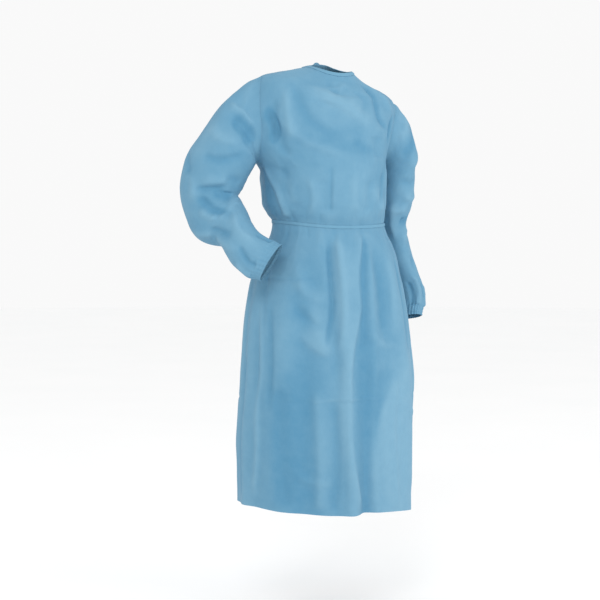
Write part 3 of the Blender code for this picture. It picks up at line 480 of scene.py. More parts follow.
def through(at: Array, knots: Array, values: Array) -> Array:
    """A monotone cubic through the rows of a table, which never overshoots a row.

    Args:
        at: where it is read.
        knots: the rows' places, rising.
        values: the rows, one or more numbers each.

    Returns:
        The values there: Hermite cubics whose slopes are the harmonic means of their neighbours'.
    """
    step = np.diff(knots)
    slope = np.diff(values, axis=0) / step[:, None]
    tangent = np.zeros_like(values)
    same = slope[:-1] * slope[1:] > 0
    total = np.where(same, slope[:-1] + slope[1:], 1.0)
    tangent[1:-1] = np.where(same, 2.0 * slope[:-1] * slope[1:] / total, 0.0)
    tangent[0], tangent[-1] = slope[0], slope[-1]
    row = np.clip(np.searchsorted(knots, at, side="right") - 1, 0, len(step) - 1)
    share = ((at - knots[row]) / step[row])[..., None]
    span = step[row][..., None]
    return (
        values[row] * (1 + 2 * share) * (1 - share) ** 2
        + tangent[row] * span * share * (1 - share) ** 2
        + values[row + 1] * share**2 * (3 - 2 * share)
        + tangent[row + 1] * span * share**2 * (share - 1)
    )


def catmull(rows: Array, at: Array) -> Array:
    """A smooth curve through the rows of a table, at places counted in rows.

    Args:
        rows: the table, one row a knot.
        at: places from 0 to the last row's number.

    Returns:
        Catmull-Rom cubics there, each from the two rows before the place and the two after it.
    """
    last = len(rows) - 2
    rows = np.vstack([2 * rows[0] - rows[1], rows, 2 * rows[-1] - rows[-2]])
    row = np.clip(np.floor(at).astype(int), 0, last)
    t = (at - row)[:, None]
    a, b, c, d = rows[row], rows[row + 1], rows[row + 2], rows[row + 3]
    return 0.5 * (
        2 * b + (c - a) * t + (2 * a - 5 * b + 4 * c - d) * t**2 + (3 * b - a - 3 * c + d) * t**3
    )


class CloudNoise:
    """Smooth gradient noise in space, about -1 to 1 and the same on each run."""

    def __init__(self, seed: int) -> None:
        """Shuffles the cells' slopes.

        Args:
            seed: what the shuffle starts from.
        """
        rng = np.random.default_rng(seed)
        self.order: Ints = rng.permutation(256).astype(np.int64)
        self.slopes: Array = unit(rng.normal(size=(256, 3)))

    def at(self, points: Array) -> Array:
        """The noise at each point: slopes at a cell's eight corners, blended by quintic weights.

        Args:
            points: places, in cells.

        Returns:
            One height a point.
        """
        cell = np.floor(points).astype(np.int64)
        share = points - cell
        fade = share**3 * (share * (share * 6.0 - 15.0) + 10.0)
        total = np.zeros(points.shape[:-1])
        for corner in product((0, 1), repeat=3):
            index = (cell + np.array(corner)) & 255
            mixed = self.order[index[..., 0]]
            mixed = self.order[(mixed + index[..., 1]) & 255]
            slope = self.slopes[self.order[(mixed + index[..., 2]) & 255]]
            weight = np.prod(np.where(np.array(corner) == 1, fade, 1.0 - fade), axis=-1)
            total += weight * np.sum((share - np.array(corner)) * slope, axis=-1)
        return 1.6 * total


@dataclass
class Crumple:
    """The small buckles of crisp cloth: broad swells, bent flats between ridges, and fine ones."""

    seed: int
    swell: float = 0.0030
    ridges: float = 0.0032
    fine: float = 0.0008
    swell_size: float = 0.110
    ridge_size: float = 0.062
    fine_size: float = 0.024
    warp: float = 0.016  # how far places are pushed about before the ridges are read
    warp_size: float = 0.090
    warp_shifts: tuple[float, float, float] = (3.7, 11.3, 23.9)  # in cells, for x, y and z
    mean: float = 0.32  # of the size of the noise, so that ridges leave the cloth where it was
    least: float = 0.45  # share of the ridges that the calmest patches keep
    patch_size: float = 0.130

    def height(self, places: Array) -> Array:
        """Height of the buckles: noise, plus a mean less the size of warped noise at two scales.

        Args:
            places: points in metres, stretched the way that the buckles run.

        Returns:
            One height a point, in metres.
        """
        broad, push, ridged, small, patchy = (CloudNoise(self.seed + more) for more in range(5))
        pushes = [push.at(places / self.warp_size + shift) for shift in self.warp_shifts]
        bent = places + self.warp * np.stack(pushes, axis=-1)
        height = self.ridges * (self.mean - np.abs(ridged.at(bent / self.ridge_size)))
        height += self.fine * (self.mean - np.abs(small.at(bent / self.fine_size)))
        patch = smoothstep(0.5 + patchy.at(places / self.patch_size))
        height *= self.least + (1.0 - self.least) * patch
        return self.swell * broad.at(places / self.swell_size) + height


PATH_STEPS = 4  # straight steps between two knots of a crease's path
CREASE_REACH = 0.09  # metres above and below a path, past which its crease adds nothing
LEANING = 0.6  # how much narrower the steep flank is, and the other one wider, at a lean of 1


def crease_height(
    creases: tuple[Crease, ...],
    angle: Array,
    along: Array,
    reach: Array,
    length: Array | None = None,
) -> Array:
    """What all the creases together add at each point of a surface.

    Each is a bell curve of the distance to its path, narrower on its steep side, and it dies
    away towards the path's ends.

    Args:
        creases: the creases, their paths in degrees and in the second parameter.
        angle: the first parameter at each point, in radians.
        along: the second parameter at each point.
        reach: metres that one radian is at each point.
        length: metres that one unit of the second parameter is at each point, where not one.

    Returns:
        One height a point, in metres.
    """
    total = np.zeros(angle.shape)
    length = np.ones(angle.shape) if length is None else length
    margin = CREASE_REACH / float(length.min())
    for crease in creases:
        knots = np.array(crease.path, float)
        count = PATH_STEPS * (len(knots) - 1) + 1
        path = catmull(knots, np.linspace(0.0, len(knots) - 1.0, count))
        turn, rise = np.radians(path[:, 0]), path[:, 1]
        near = (along > rise.min() - margin) & (along < rise.max() + margin)
        if not near.any():
            continue
        at_angle, at_along, at_reach, at_length = (
            values[near] for values in (angle, along, reach, length)
        )
        best = np.full(at_angle.shape, np.inf)
        side = np.zeros(at_angle.shape)
        share = np.zeros(at_angle.shape)
        for step in range(count - 1):
            start_x = wrapped(turn[step] - at_angle) * at_reach
            start_y = (rise[step] - at_along) * at_length
            run_x = (turn[step + 1] - turn[step]) * at_reach
            run_y = (rise[step + 1] - rise[step]) * at_length
            span = run_x * run_x + run_y * run_y + 1e-12
            part = np.clip(-(start_x * run_x + start_y * run_y) / span, 0.0, 1.0)
            off_x, off_y = start_x + part * run_x, start_y + part * run_y
            distance = np.hypot(off_x, off_y)
            closer = distance < best
            best = np.where(closer, distance, best)
            side = np.where(closer, run_y * off_x - run_x * off_y, side)
            share = np.where(closer, (step + part) / (count - 1), share)
        lean = LEANING * crease.lean
        width = crease.width * np.where(side > 0, 1.0 - lean, 1.0 + lean)
        alive = smoothstep(share / crease.fade) * smoothstep((1.0 - share) / crease.fade)
        total[near] += crease.depth * alive * bell(best / width)
    return total


@dataclass(frozen=True)
class BodyForm:
    """The form that the front and the two backs lie on, with its main folds."""

    turn_step: float = 0.02  # radians and metres to each side, over which its slopes are taken
    up_step: float = 0.003

    def sizes(self, up: Array) -> Array:
        """The four sizes and the four heights of the body's sections at each level."""
        table = np.array([section.sizes + section.heights for section in SECTIONS])
        return through(up, np.array([section.up for section in SECTIONS]), table)

    def reach(self, theta: Array, up: Array) -> Array:
        """Metres that one radian round the body is: half of the side's size plus the depth's.

        Args:
            theta: angle round the body.
            up: distance up the cloth.

        Returns:
            One length a point.
        """
        size = self.sizes(up)
        side = np.where(np.sin(theta) > 0, size[..., 1], size[..., 0])
        return 0.5 * (side + np.where(np.cos(theta) > 0, size[..., 2], size[..., 3]))

    def fold_height(self, theta: Array, up: Array, reach: Array) -> Array:
        """How far the main folds push the cloth out: bell curves across lines down the body.

        Args:
            theta: angle round the body.
            up: distance up the cloth.
            reach: metres to the radian.

        Returns:
            One height a point.
        """
        total = np.zeros(theta.shape)
        for fold in FOLDS:
            share = (fold.top[0] - up) / (fold.top[0] - fold.low[0])
            middle = np.radians(fold.top[1] + (fold.low[1] - fold.top[1]) * share)
            away = wrapped(theta - middle) * reach
            depth = fold.depths[0] + (fold.depths[1] - fold.depths[0]) * np.clip(share, 0, 1)
            alive = smoothstep(share / FOLD_TAPER)
            if fold.low[0] > HEM_FREE:
                alive = alive * smoothstep((1.0 - share) / FOLD_TAPER)
            total += depth * alive * bell(away / fold.half_width)
        return total

    def points(self, theta: Array, up: Array) -> Array:
        """Points of the form: x is side times sine, y is less depth times cosine, z between.

        Args:
            theta: angle round the body.
            up: distance up the cloth.

        Returns:
            The points.
        """
        theta, up = np.broadcast_arrays(np.asarray(theta, float), np.asarray(up, float))
        size = self.sizes(up)
        sine, cosine = np.sin(theta), np.cos(theta)
        side = np.where(sine > 0, size[..., 1], size[..., 0])
        depth = np.where(cosine > 0, size[..., 2], size[..., 3])
        z_side = np.where(sine > 0, size[..., 5], size[..., 4])
        z_depth = np.where(cosine > 0, size[..., 6], size[..., 7])
        push = self.fold_height(theta, up, 0.5 * (side + depth))
        x, y = (side + push) * sine, -(depth + push) * cosine
        return np.stack([x, y, z_side * sine**2 + z_depth * cosine**2], axis=-1)

    def normals(self, theta: Array, up: Array) -> Array:
        """Unit normals of the form, pointing out: the cross product of its two slopes.

        Args:
            theta: angle round the body.
            up: distance up the cloth.

        Returns:
            One normal a point.
        """
        low = np.clip(np.asarray(up) - self.up_step, 0.0, UP["neck"])
        high = np.clip(np.asarray(up) + self.up_step, 0.0, UP["neck"])
        round_it = self.points(theta + self.turn_step, up) - self.points(theta - self.turn_step, up)
        up_it = self.points(theta, high) - self.points(theta, low)
        return unit(np.cross(round_it, up_it))


# Levels up the cloth, and where noise is read for them: less far apart, so that buckles run long.
DRAWN_OUT = ([0.0, 0.64, 0.78, 1.0, 1.191], [0.0, 0.26, 0.36, 0.53, 0.68])


@dataclass
class BodyCloth:
    """The cloth of the body: the form, moved out or in by its creases, buckles and seams."""

    form: BodyForm = field(default_factory=BodyForm)
    crumple: Crumple = field(default_factory=lambda: Crumple(seed=41))
    front_inset: float = math.radians(22.0)  # how far the armhole cuts into the front
    back_inset: float = math.radians(22.0)
    inset_power: float = 0.7
    tube: float = 0.19  # radius of the tube that stands for the body where noise is read
    overlap: float = math.radians(17.0)  # how far each back passes the middle
    overlap_at_neck: float = math.radians(11.0)
    ramp: float = math.radians(24.0)  # over which the outer back rises to its lift
    lift: float = 0.0045
    droop: float = 0.70  # the share of its lift that the outer back loses at its free edge
    droop_over: float = math.radians(6.0)
    inner_ease: float = 0.15  # radians over which a strip steps down from the outer back
    seam_depth: float = 0.0004
    seam_width: float = 0.0045
    pucker: float = 0.0006
    pucker_size: float = 0.011
    hem_wave: float = 0.0022
    hem_wave_size: float = 0.045
    hem_reach: float = 0.05  # up the cloth, over which the wave dies away
    belt_reach: float = 0.012  # from the belt's middle, where it holds the cloth flat
    neck_reach: float = 0.05
    gather_depth: float = 0.0021
    gather_off: float = 0.008  # from the belt's middle to where its puckers start
    gather_up: float = 0.060  # the longest pucker up the bodice, and down the skirt
    gather_down: float = 0.085
    boldness: float = 1.45  # how much deeper than written the listed creases are
    fold_painted_shade: float = 0.35  # the share of a main fold's depth that the finish reads, as painted shade in its trough and painted highlight on its ridge

    def armhole_up(self, share: Array) -> Array:
        """Levels up an armhole, closer at its bottom and top: half of one less the cosine."""
        tall = UP["tip"] - UP["armpit"]
        return UP["armpit"] + tall * (1.0 - np.cos(math.pi * share)) / 2.0

    def inset(self, up: Array, most: float) -> Array:
        """How far the armhole cuts in at each level: most times a power of a sine."""
        share = np.clip((up - UP["armpit"]) / (UP["tip"] - UP["armpit"]), 0.0, 1.0)
        return most * np.sin(math.pi * share) ** self.inset_power

    def seams(self) -> tuple[Crease, ...]:
        """The grooves of the side, armhole and shoulder seams, as troughs that don't die away.

        Returns:
            The troughs.
        """
        rise = self.armhole_up(np.linspace(0.0, 1.0, 13))
        front = 90.0 - np.degrees(self.inset(rise, self.front_inset))
        back = 90.0 + np.degrees(self.inset(rise, self.back_inset))
        found = []
        for sign in (-1.0, 1.0):
            for path in (
                ((sign * 90.0, -0.02), (sign * 90.0, UP["armpit"])),
                ((sign * 90.0, UP["tip"]), (sign * 90.0, UP["neck"] + 0.02)),
                tuple(zip((sign * front).tolist(), rise.tolist())),
                tuple(zip((sign * back).tolist(), rise.tolist())),
            ):
                found.append(Crease(path, -self.seam_depth, self.seam_width, 0.0, 1e-6))
        return tuple(found)

    def on_tube(self, theta: Array, rise: Array) -> Array:
        """Places on the tube where noise is read."""
        return np.stack([self.tube * np.sin(theta), self.tube * np.cos(theta), rise], axis=-1)

    def belt_gathers(self) -> tuple[Crease, ...]:
        """Short uneven puckers that run from the belt up the bodice and down the skirt.

        Returns:
            The puckers, drawn at random and the same on each run.
        """
        rng = np.random.default_rng(7)
        found = []
        for sign, most in ((1.0, self.gather_up), (-1.0, self.gather_down)):
            start = UP["waist"] + sign * self.gather_off
            angle = -178.0
            while angle < 180.0:
                long = sign * most * rng.uniform(0.35, 1.0)
                depth = self.gather_depth * rng.uniform(0.3, 1.0) * rng.choice((-1.0, -1.0, 1.0))
                top = (angle + rng.uniform(-3.0, 3.0), start + long)
                path = ((angle, start - 0.4 * long), (angle, start), top)
                width = rng.uniform(0.0035, 0.0065)
                found.append(Crease(path, depth, width, rng.uniform(-0.4, 0.4), 0.45))
                angle += rng.uniform(7.0, 15.0)
        return tuple(found)

    def height(self, theta: Array, up: Array) -> Array:
        """How far the cloth stands off its form: creases, buckles, seams and the hem's wave.

        Args:
            theta: angle round the body.
            up: distance up the cloth.

        Returns:
            One height a point.
        """
        reach = self.form.reach(theta, up)
        # the buckles are drawn out down the skirt, and less in the bodice
        places = self.on_tube(theta, np.interp(up, *DRAWN_OUT))
        seams = crease_height(self.seams(), theta, up, reach)
        close = np.clip(-seams / self.seam_depth, 0.0, 1.0) ** 0.25
        at_belt = bell((up - UP["waist"]) / self.belt_reach)
        free_of_neck = smoothstep((UP["neck"] - up) / self.neck_reach)
        calm = (1.0 - 0.85 * at_belt) * (0.15 + 0.85 * free_of_neck)
        total = calm * self.boldness * crease_height(BODY_CREASES, theta, up, reach)
        total += calm * (1.0 - 0.6 * close) * self.crumple.height(places)
        total += crease_height(self.belt_gathers(), theta, up, reach) * (1.0 - 0.7 * at_belt)
        puckers = CloudNoise(seed=91).at(self.on_tube(theta, up) / self.pucker_size)
        wave = CloudNoise(seed=17).at(places / self.hem_wave_size)
        total += seams + close * self.pucker * puckers
        return total + np.exp(-up / self.hem_reach) * self.hem_wave * wave

    def past_middle(self, up: Array) -> Array:
        """How far each back passes the middle at each level, less towards the neck."""
        share = smoothstep((up - UP["armpit"]) / (UP["neck"] - UP["armpit"]))
        return self.overlap + (self.overlap_at_neck - self.overlap) * share

    def stand_off(self, theta: Array, up: Array) -> Array:
        """How far the outer back stands off the inner one: a rise, and a droop at its free edge.

        Args:
            theta: angle round the body, on the left.
            up: distance up the cloth.

        Returns:
            One height a point.
        """
        to_middle = math.pi - np.abs(theta)
        rise = self.lift * smoothstep((self.overlap + self.ramp - to_middle) / self.ramp)
        edge = smoothstep(1.0 - (to_middle + self.past_middle(up)) / self.droop_over)
        return rise * (1.0 - self.droop * edge)

    def surface(self, theta: Array, up: Array, lifted: bool = False) -> tuple[Array, Array, Array]:
        """Points of the cloth, the form's normals there and the relief.

        Args:
            theta: angle round the body.
            up: distance up the cloth.
            lifted: whether this is the outer back panel.

        Returns:
            The points, the normals, and how far the cloth stands off its plain form, with the
            painted shading patches added for the finish.
        """
        theta, up = np.broadcast_arrays(np.asarray(theta, float), np.asarray(up, float))
        normals = self.form.normals(theta, up)
        out = self.height(theta, up)
        reach = self.form.reach(theta, up)
        # what the finish paints as shade in troughs and highlight on ridges: the height, part of
        # the main folds, and the painted shading patches
        relief = out + self.fold_painted_shade * self.form.fold_height(theta, up, reach)
        relief += crease_height(BODY_PAINTED_SHADING, theta, up, reach)
        if lifted:
            out = out + self.stand_off(theta, up)
        return self.form.points(theta, up) + out[..., None] * normals, normals, relief

    def ring(self, levels: Array, columns: int) -> tuple[Array, Array]:
        """The outside all round: the front, the outer back to its edge, then the inner back.

        Args:
            levels: one or more levels.
            columns: how many points round.

        Returns:
            Points and normals, one row a level.
        """
        theta = np.linspace(-math.pi / 2.0, 1.5 * math.pi, columns, endpoint=False)
        theta = np.repeat(theta[None, :], len(levels), axis=0)
        up = along_rows(levels, columns)
        edge = math.pi + self.past_middle(up)
        normals = self.form.normals(theta, up)
        rise = self.stand_off(np.clip(theta, 0.0, math.pi), up) * (theta > math.pi / 2.0)
        fall = self.lift * smoothstep((edge + self.inner_ease - theta) / self.inner_ease)
        out = self.height(theta, up) + np.where(theta > math.pi, fall, rise)
        return self.form.points(theta, up) + out[..., None] * normals, normals


def hex_colour(text: str) -> tuple[float, float, float, float]:
    """An sRGB hex colour made linear: the standard curve, with its straight foot.

    Args:
        text: the colour, as #rrggbb.

    Returns:
        Linear red, green, blue, and 1.
    """
    parts = (int(text[place : place + 2], 16) / 255.0 for place in (1, 3, 5))
    red, green, blue = (
        part / 12.92 if part <= 0.04045 else ((part + 0.055) / 1.055) ** 2.4 for part in parts
    )
    return red, green, blue, 1.0


def add_node(
    tree: bpy.types.NodeTree,
    kind: str,
    settings: dict[str, Any] | None = None,
    values: dict[str | int, Any] | None = None,
    links: dict[str | int, bpy.types.NodeSocket] | None = None,
) -> bpy.types.Node:
    """Adds a node with its settings, the values of its sockets and what feeds them.

    Args:
        tree: the material's node tree.
        kind: the node's type.
        settings: attributes of the node.
        values: sockets, by name or number, and their values.
        links: sockets, by name or number, and the outputs that feed them.

    Returns:
        The node.
    """
    node = tree.nodes.new(kind)
    for name, value in (settings or {}).items():
        setattr(node, name, value)
    for name, value in (values or {}).items():
        node.inputs[name].default_value = value
    for name, source in (links or {}).items():
        tree.links.new(source, node.inputs[name])
    return node


def start_material(
    name: str, constants: dict[str, float]
) -> tuple[bpy.types.Material, bpy.types.NodeTree, bpy.types.Node]:
    """A new material with the constant numbers of its principled shader.

    Args:
        name: the real material's name.
        constants: the shader's sockets and their values.

    Returns:
        The material, its node tree and its shader.
    """
    material = bpy.data.materials.new(name)
    material.use_nodes = True
    shader = material.node_tree.nodes["Principled BSDF"]
    for socket, value in constants.items():
        shader.inputs[socket].default_value = value
    return material, material.node_tree, shader


def colour_between(
    tree: bpy.types.NodeTree, shader: bpy.types.Node, first: str, second: str,
    share: bpy.types.NodeSocket,
) -> None:
    """Gives a shader a colour between two, mixed in linear light.

    Args:
        tree: the material's node tree.
        shader: its shader.
        first: the colour where the share is 0, as #rrggbb.
        second: the colour where it is 1.
        share: the output that it is read from.
    """
    mixed = add_node(
        tree, "ShaderNodeMix", {"data_type": "RGBA"},
        {6: hex_colour(first), 7: hex_colour(second)}, {0: share},
    )
    tree.links.new(mixed.outputs[2], shader.inputs["Base Color"])


@dataclass(frozen=True)
class SpunbondCloth:
    """Spunbond polypropylene, melt-blown threads pressed together at a grid of hot points.

    It gives the eye a crisp, matt, papery blue with a cloudy web, fine random fibres, and rows of
    tiny bond points that dull its faint sheen.
    """

    name: str = "spunbond polypropylene"
    pale: str = "#78a2b9"  # painted highlight: on ridges, and painted light where light comes through the cloth
    deep: str = "#4c83a3"  # painted shade: in troughs, and where the cloth lies double or on what is under it
    relief_span: float = 0.020  # from the deepest trough to the highest ridge, over which painted shade turns to painted highlight
    cloud_share: float = 0.30
    roughness: float = 0.70
    sheen: float = 0.04
    sheen_roughness: float = 0.5
    specular: float = 0.15
    ior: float = 1.49  # of polypropylene
    bond_pitch: float = 0.0040  # the real points are 2 mm apart, too fine to show: drawn at twice
    cloud_size: float = 0.030
    fibre_size: float = 0.0022
    crinkle_size: float = 0.012
    crinkle: float = 0.35
    fuzz: float = 0.12
    bond: float = 0.10
    pit: tuple[float, float] = (0.12, 0.30)  # shares of the pitch from a bond point to its rim

    def build(self) -> bpy.types.Material:
        """Makes the material on the piece's own UV map, which is in metres.

        Returns:
            The material.
        """
        material, tree, shader = start_material(
            self.name,
            {
                "Roughness": self.roughness, "Sheen Weight": self.sheen,
                "Sheen Roughness": self.sheen_roughness, "Specular IOR Level": self.specular,
                "IOR": self.ior,
            },
        )
        place = add_node(tree, "ShaderNodeUVMap", {"uv_map": "cloth"}).outputs["UV"]
        cloud = add_node(
            tree, "ShaderNodeTexNoise", {"noise_dimensions": "2D"},
            {"Scale": 1.0 / self.cloud_size, "Detail": 5.0, "Roughness": 0.62}, {"Vector": place},
        )
        # painted shade and painted highlight: the mesh's relief, darker in troughs and paler on
        # ridges, mixed with the cloud
        relief = add_node(tree, "ShaderNodeAttribute", {"attribute_name": "relief"})
        painted_light_share = add_node(
            tree, "ShaderNodeMapRange", {"interpolation_type": "SMOOTHSTEP"},
            {"From Min": -0.5 * self.relief_span, "From Max": 0.5 * self.relief_span},
            {"Value": relief.outputs["Fac"]},
        )
        shade_and_cloud = add_node(
            tree, "ShaderNodeMix", {"data_type": "FLOAT"}, {0: self.cloud_share},
            {2: painted_light_share.outputs["Result"], 3: cloud.outputs["Fac"]},
        )
        colour_between(tree, shader, self.deep, self.pale, shade_and_cloud.outputs[0])
        crinkle = add_node(
            tree, "ShaderNodeTexNoise",
            {"noise_dimensions": "2D", "noise_type": "RIDGED_MULTIFRACTAL"},
            {"Scale": 1.0 / self.crinkle_size, "Detail": 3.0, "Roughness": 0.5}, {"Vector": place},
        )
        soft = add_node(
            tree, "ShaderNodeBump", None, {"Strength": self.crinkle, "Distance": 0.0006},
            {"Height": crinkle.outputs["Fac"]},
        )
        fibre = add_node(
            tree, "ShaderNodeTexNoise", {"noise_dimensions": "2D"},
            {"Scale": 1.0 / self.fibre_size, "Detail": 2.0, "Distortion": 1.5}, {"Vector": place},
        )
        fuzz = add_node(
            tree, "ShaderNodeBump", None, {"Strength": self.fuzz, "Distance": 0.0003},
            {"Height": fibre.outputs["Fac"], "Normal": soft.outputs["Normal"]},
        )
        turned = add_node(
            tree, "ShaderNodeMapping", None,
            {"Rotation": (0.0, 0.0, math.radians(45.0)), "Scale": (1.0 / self.bond_pitch,) * 3},
            {"Vector": place},
        )
        points = add_node(
            tree, "ShaderNodeTexVoronoi", {"voronoi_dimensions": "2D"},
            {"Scale": 1.0, "Randomness": 0.0}, {"Vector": turned.outputs["Vector"]},
        )
        pit = add_node(
            tree, "ShaderNodeMapRange", None, {"From Min": self.pit[0], "From Max": self.pit[1]},
            {"Value": points.outputs["Distance"]},
        )
        pressed = add_node(
            tree, "ShaderNodeBump", None, {"Strength": self.bond, "Distance": 0.0004},
            {"Height": pit.outputs["Result"], "Normal": fuzz.outputs["Normal"]},
        )
        tree.links.new(pressed.outputs["Normal"], shader.inputs["Normal"])
        return material


@dataclass(frozen=True)
class SewingThread:
    """Spun polyester thread, twisted: small pale stitches with a soft sheen."""

    name: str = "spun polyester thread"
    deep: str = "#668fa8"
    pale: str = "#7aa5bc"
    roughness: float = 0.5
    twist_scale: float = 900.0

    def build(self) -> bpy.types.Material:
        """Makes the material, its twist as fine noise on the object's own axes.

        Returns:
            The material.
        """
        material, tree, shader = start_material(self.name, {"Roughness": self.roughness})
        place = add_node(tree, "ShaderNodeTexCoord").outputs["Object"]
        values = {"Scale": self.twist_scale, "Detail": 1.0}
        twist = add_node(tree, "ShaderNodeTexNoise", None, values, {"Vector": place})
        colour_between(tree, shader, self.deep, self.pale, twist.outputs["Fac"])
        return material


@dataclass(frozen=True)
class StudioPaper:
    """Matt white background paper, a little uneven."""

    name: str = "matt background paper"
    deep: str = "#fbfcfc"
    pale: str = "#ffffff"
    roughness: float = 0.9
    specular: float = 0.1
    cloud_scale: float = 1.5

    def build(self) -> bpy.types.Material:
        """Makes the material, its unevenness from noise on the floor's own axes.

        Returns:
            The material.
        """
        constants = {"Roughness": self.roughness, "Specular IOR Level": self.specular}
        material, tree, shader = start_material(self.name, constants)
        place = add_node(tree, "ShaderNodeTexCoord").outputs["Object"]
        values = {"Scale": self.cloud_scale, "Detail": 3.0}
        cloud = add_node(tree, "ShaderNodeTexNoise", None, values, {"Vector": place})
        colour_between(tree, shader, self.deep, self.pale, cloud.outputs["Fac"])
        return material


def grid_faces(rows: int, columns: int, closed: bool = False, joined: bool = False) -> Ints:
    """Quads of a grid of points, rows upwards or outwards along the piece.

    Args:
        rows: how many rows.
        columns: how many points a row.
        closed: whether each row closes on itself.
        joined: whether the last row meets the first.

    Returns:
        Four point numbers a face.
    """
    index = np.arange(rows * columns).reshape(rows, columns)
    index = np.pad(index, ((0, int(joined)), (0, int(closed))), mode="wrap")
    corners = (index[:-1, :-1], index[:-1, 1:], index[1:, 1:], index[1:, :-1])
    return np.stack([corner.ravel() for corner in corners], axis=-1)


def cloth_map(points: Array) -> Array:
    """Each point's place on the flat cloth, in metres: lengths summed along rows and columns.

    Args:
        points: the grid, with its first column again at the end where its rows close.

    Returns:
        Two numbers a point.
    """
    across = np.linalg.norm(np.diff(points, axis=1), axis=-1)
    along = np.linalg.norm(np.diff(points, axis=0), axis=-1).mean(axis=1)
    u = np.concatenate([np.zeros((len(points), 1)), np.cumsum(across, axis=1)], axis=1)
    u = u - u[:, -1:] / 2.0
    v = np.concatenate([[0.0], np.cumsum(along)])
    return np.stack([u, along_rows(v, u.shape[1])], axis=-1)


def mesh_object(
    name: str,
    points: Array,
    faces: Ints,
    material: bpy.types.Material,
    corners_map: Array | None = None,
    relief: Array | None = None,
) -> bpy.types.Object:
    """Puts points and faces into a smooth mesh object at the origin, its open borders crisp.

    Args:
        name: the piece's name.
        points: one row a point.
        faces: three or four point numbers a face.
        material: its finish.
        corners_map: a place on the flat cloth for each face corner, if it has one.
        relief: how far each point stands off the plain form, with the painted shading patches, if
            the finish reads it as painted shade and painted highlight.

    Returns:
        The object, in the scene.
    """
    mesh = bpy.data.meshes.new(name)
    starts = np.arange(0, faces.size, faces.shape[1], dtype=np.int32)
    mesh.vertices.add(len(points))
    mesh.vertices.foreach_set("co", points.astype(np.float32).ravel())
    mesh.loops.add(faces.size)
    mesh.loops.foreach_set("vertex_index", faces.astype(np.int32).ravel())
    mesh.polygons.add(len(faces))
    mesh.polygons.foreach_set("loop_start", starts)
    mesh.polygons.foreach_set("use_smooth", np.ones(len(faces), bool))
    mesh.update(calc_edges=True)
    if corners_map is not None:
        layer = mesh.uv_layers.new(name="cloth")
        layer.data.foreach_set("uv", corners_map.astype(np.float32).ravel())
    if relief is not None:
        layer = mesh.attributes.new("relief", "FLOAT", "POINT")
        layer.data.foreach_set("value", relief.astype(np.float32).ravel())
    edge_of = np.empty(faces.size, np.int32)
    mesh.loops.foreach_get("edge_index", edge_of)
    border = np.bincount(edge_of, minlength=len(mesh.edges)) == 1
    mesh.attributes.new("sharp_edge", "BOOLEAN", "EDGE").data.foreach_set("value", border)
    mesh.validate()
    mesh.materials.append(material)
    obj = bpy.data.objects.new(name, mesh)
    bpy.context.scene.collection.objects.link(obj)
    return obj


def cloth_object(
    name: str,
    points: Array,
    material: bpy.types.Material,
    relief: Array,
    closed: bool = False,
    outward: bool = True,
    thickness: float = 0.0005,
) -> bpy.types.Object:
    """A thin piece of cloth on a grid of its outer points, thickened inwards.

    Args:
        name: the piece's name.
        points: the grid of its outer face.
        material: its finish.
        relief: how far each point stands off the plain form.
        closed: whether each row closes on itself.
        outward: whether the grid's own winding faces out.
        thickness: of the cloth.

    Returns:
        The object.
    """
    faces = grid_faces(*points.shape[:2], closed)
    flat = cloth_map(np.pad(points, ((0, 0), (0, int(closed)), (0, 0)), mode="wrap"))
    corner_faces = grid_faces(*flat.shape[:2])
    if not outward:
        faces, corner_faces = faces[:, ::-1], corner_faces[:, ::-1]
    uv = flat.reshape(-1, 2)[corner_faces].reshape(-1, 2)
    obj = mesh_object(name, points.reshape(-1, 3), faces, material, uv, relief)
    wall = obj.modifiers.new("cloth thickness", "SOLIDIFY")
    wall.thickness = thickness
    wall.offset = -1.0
    return obj


@dataclass(frozen=True)
class Cut:
    """The flat size of a piece of cloth as it was cut, and what holds it."""

    width: float
    length: float
    area: float | None
    held: Hold
    rests_on: tuple[str, ...] = ()


def finish_piece(
    piece: bpy.types.Object,
    nodes: tuple[str, ...] = (),
) -> None:
    """Lets a piece ride on the body and hides the solids that it stands for.

    Args:
        piece: the piece.
        nodes: the solids that it stands for.
    """
    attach(piece, BODY)
    if nodes:
        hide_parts(*nodes)
    LOG.info("%s: %d faces", piece.name, len(piece.data.polygons))


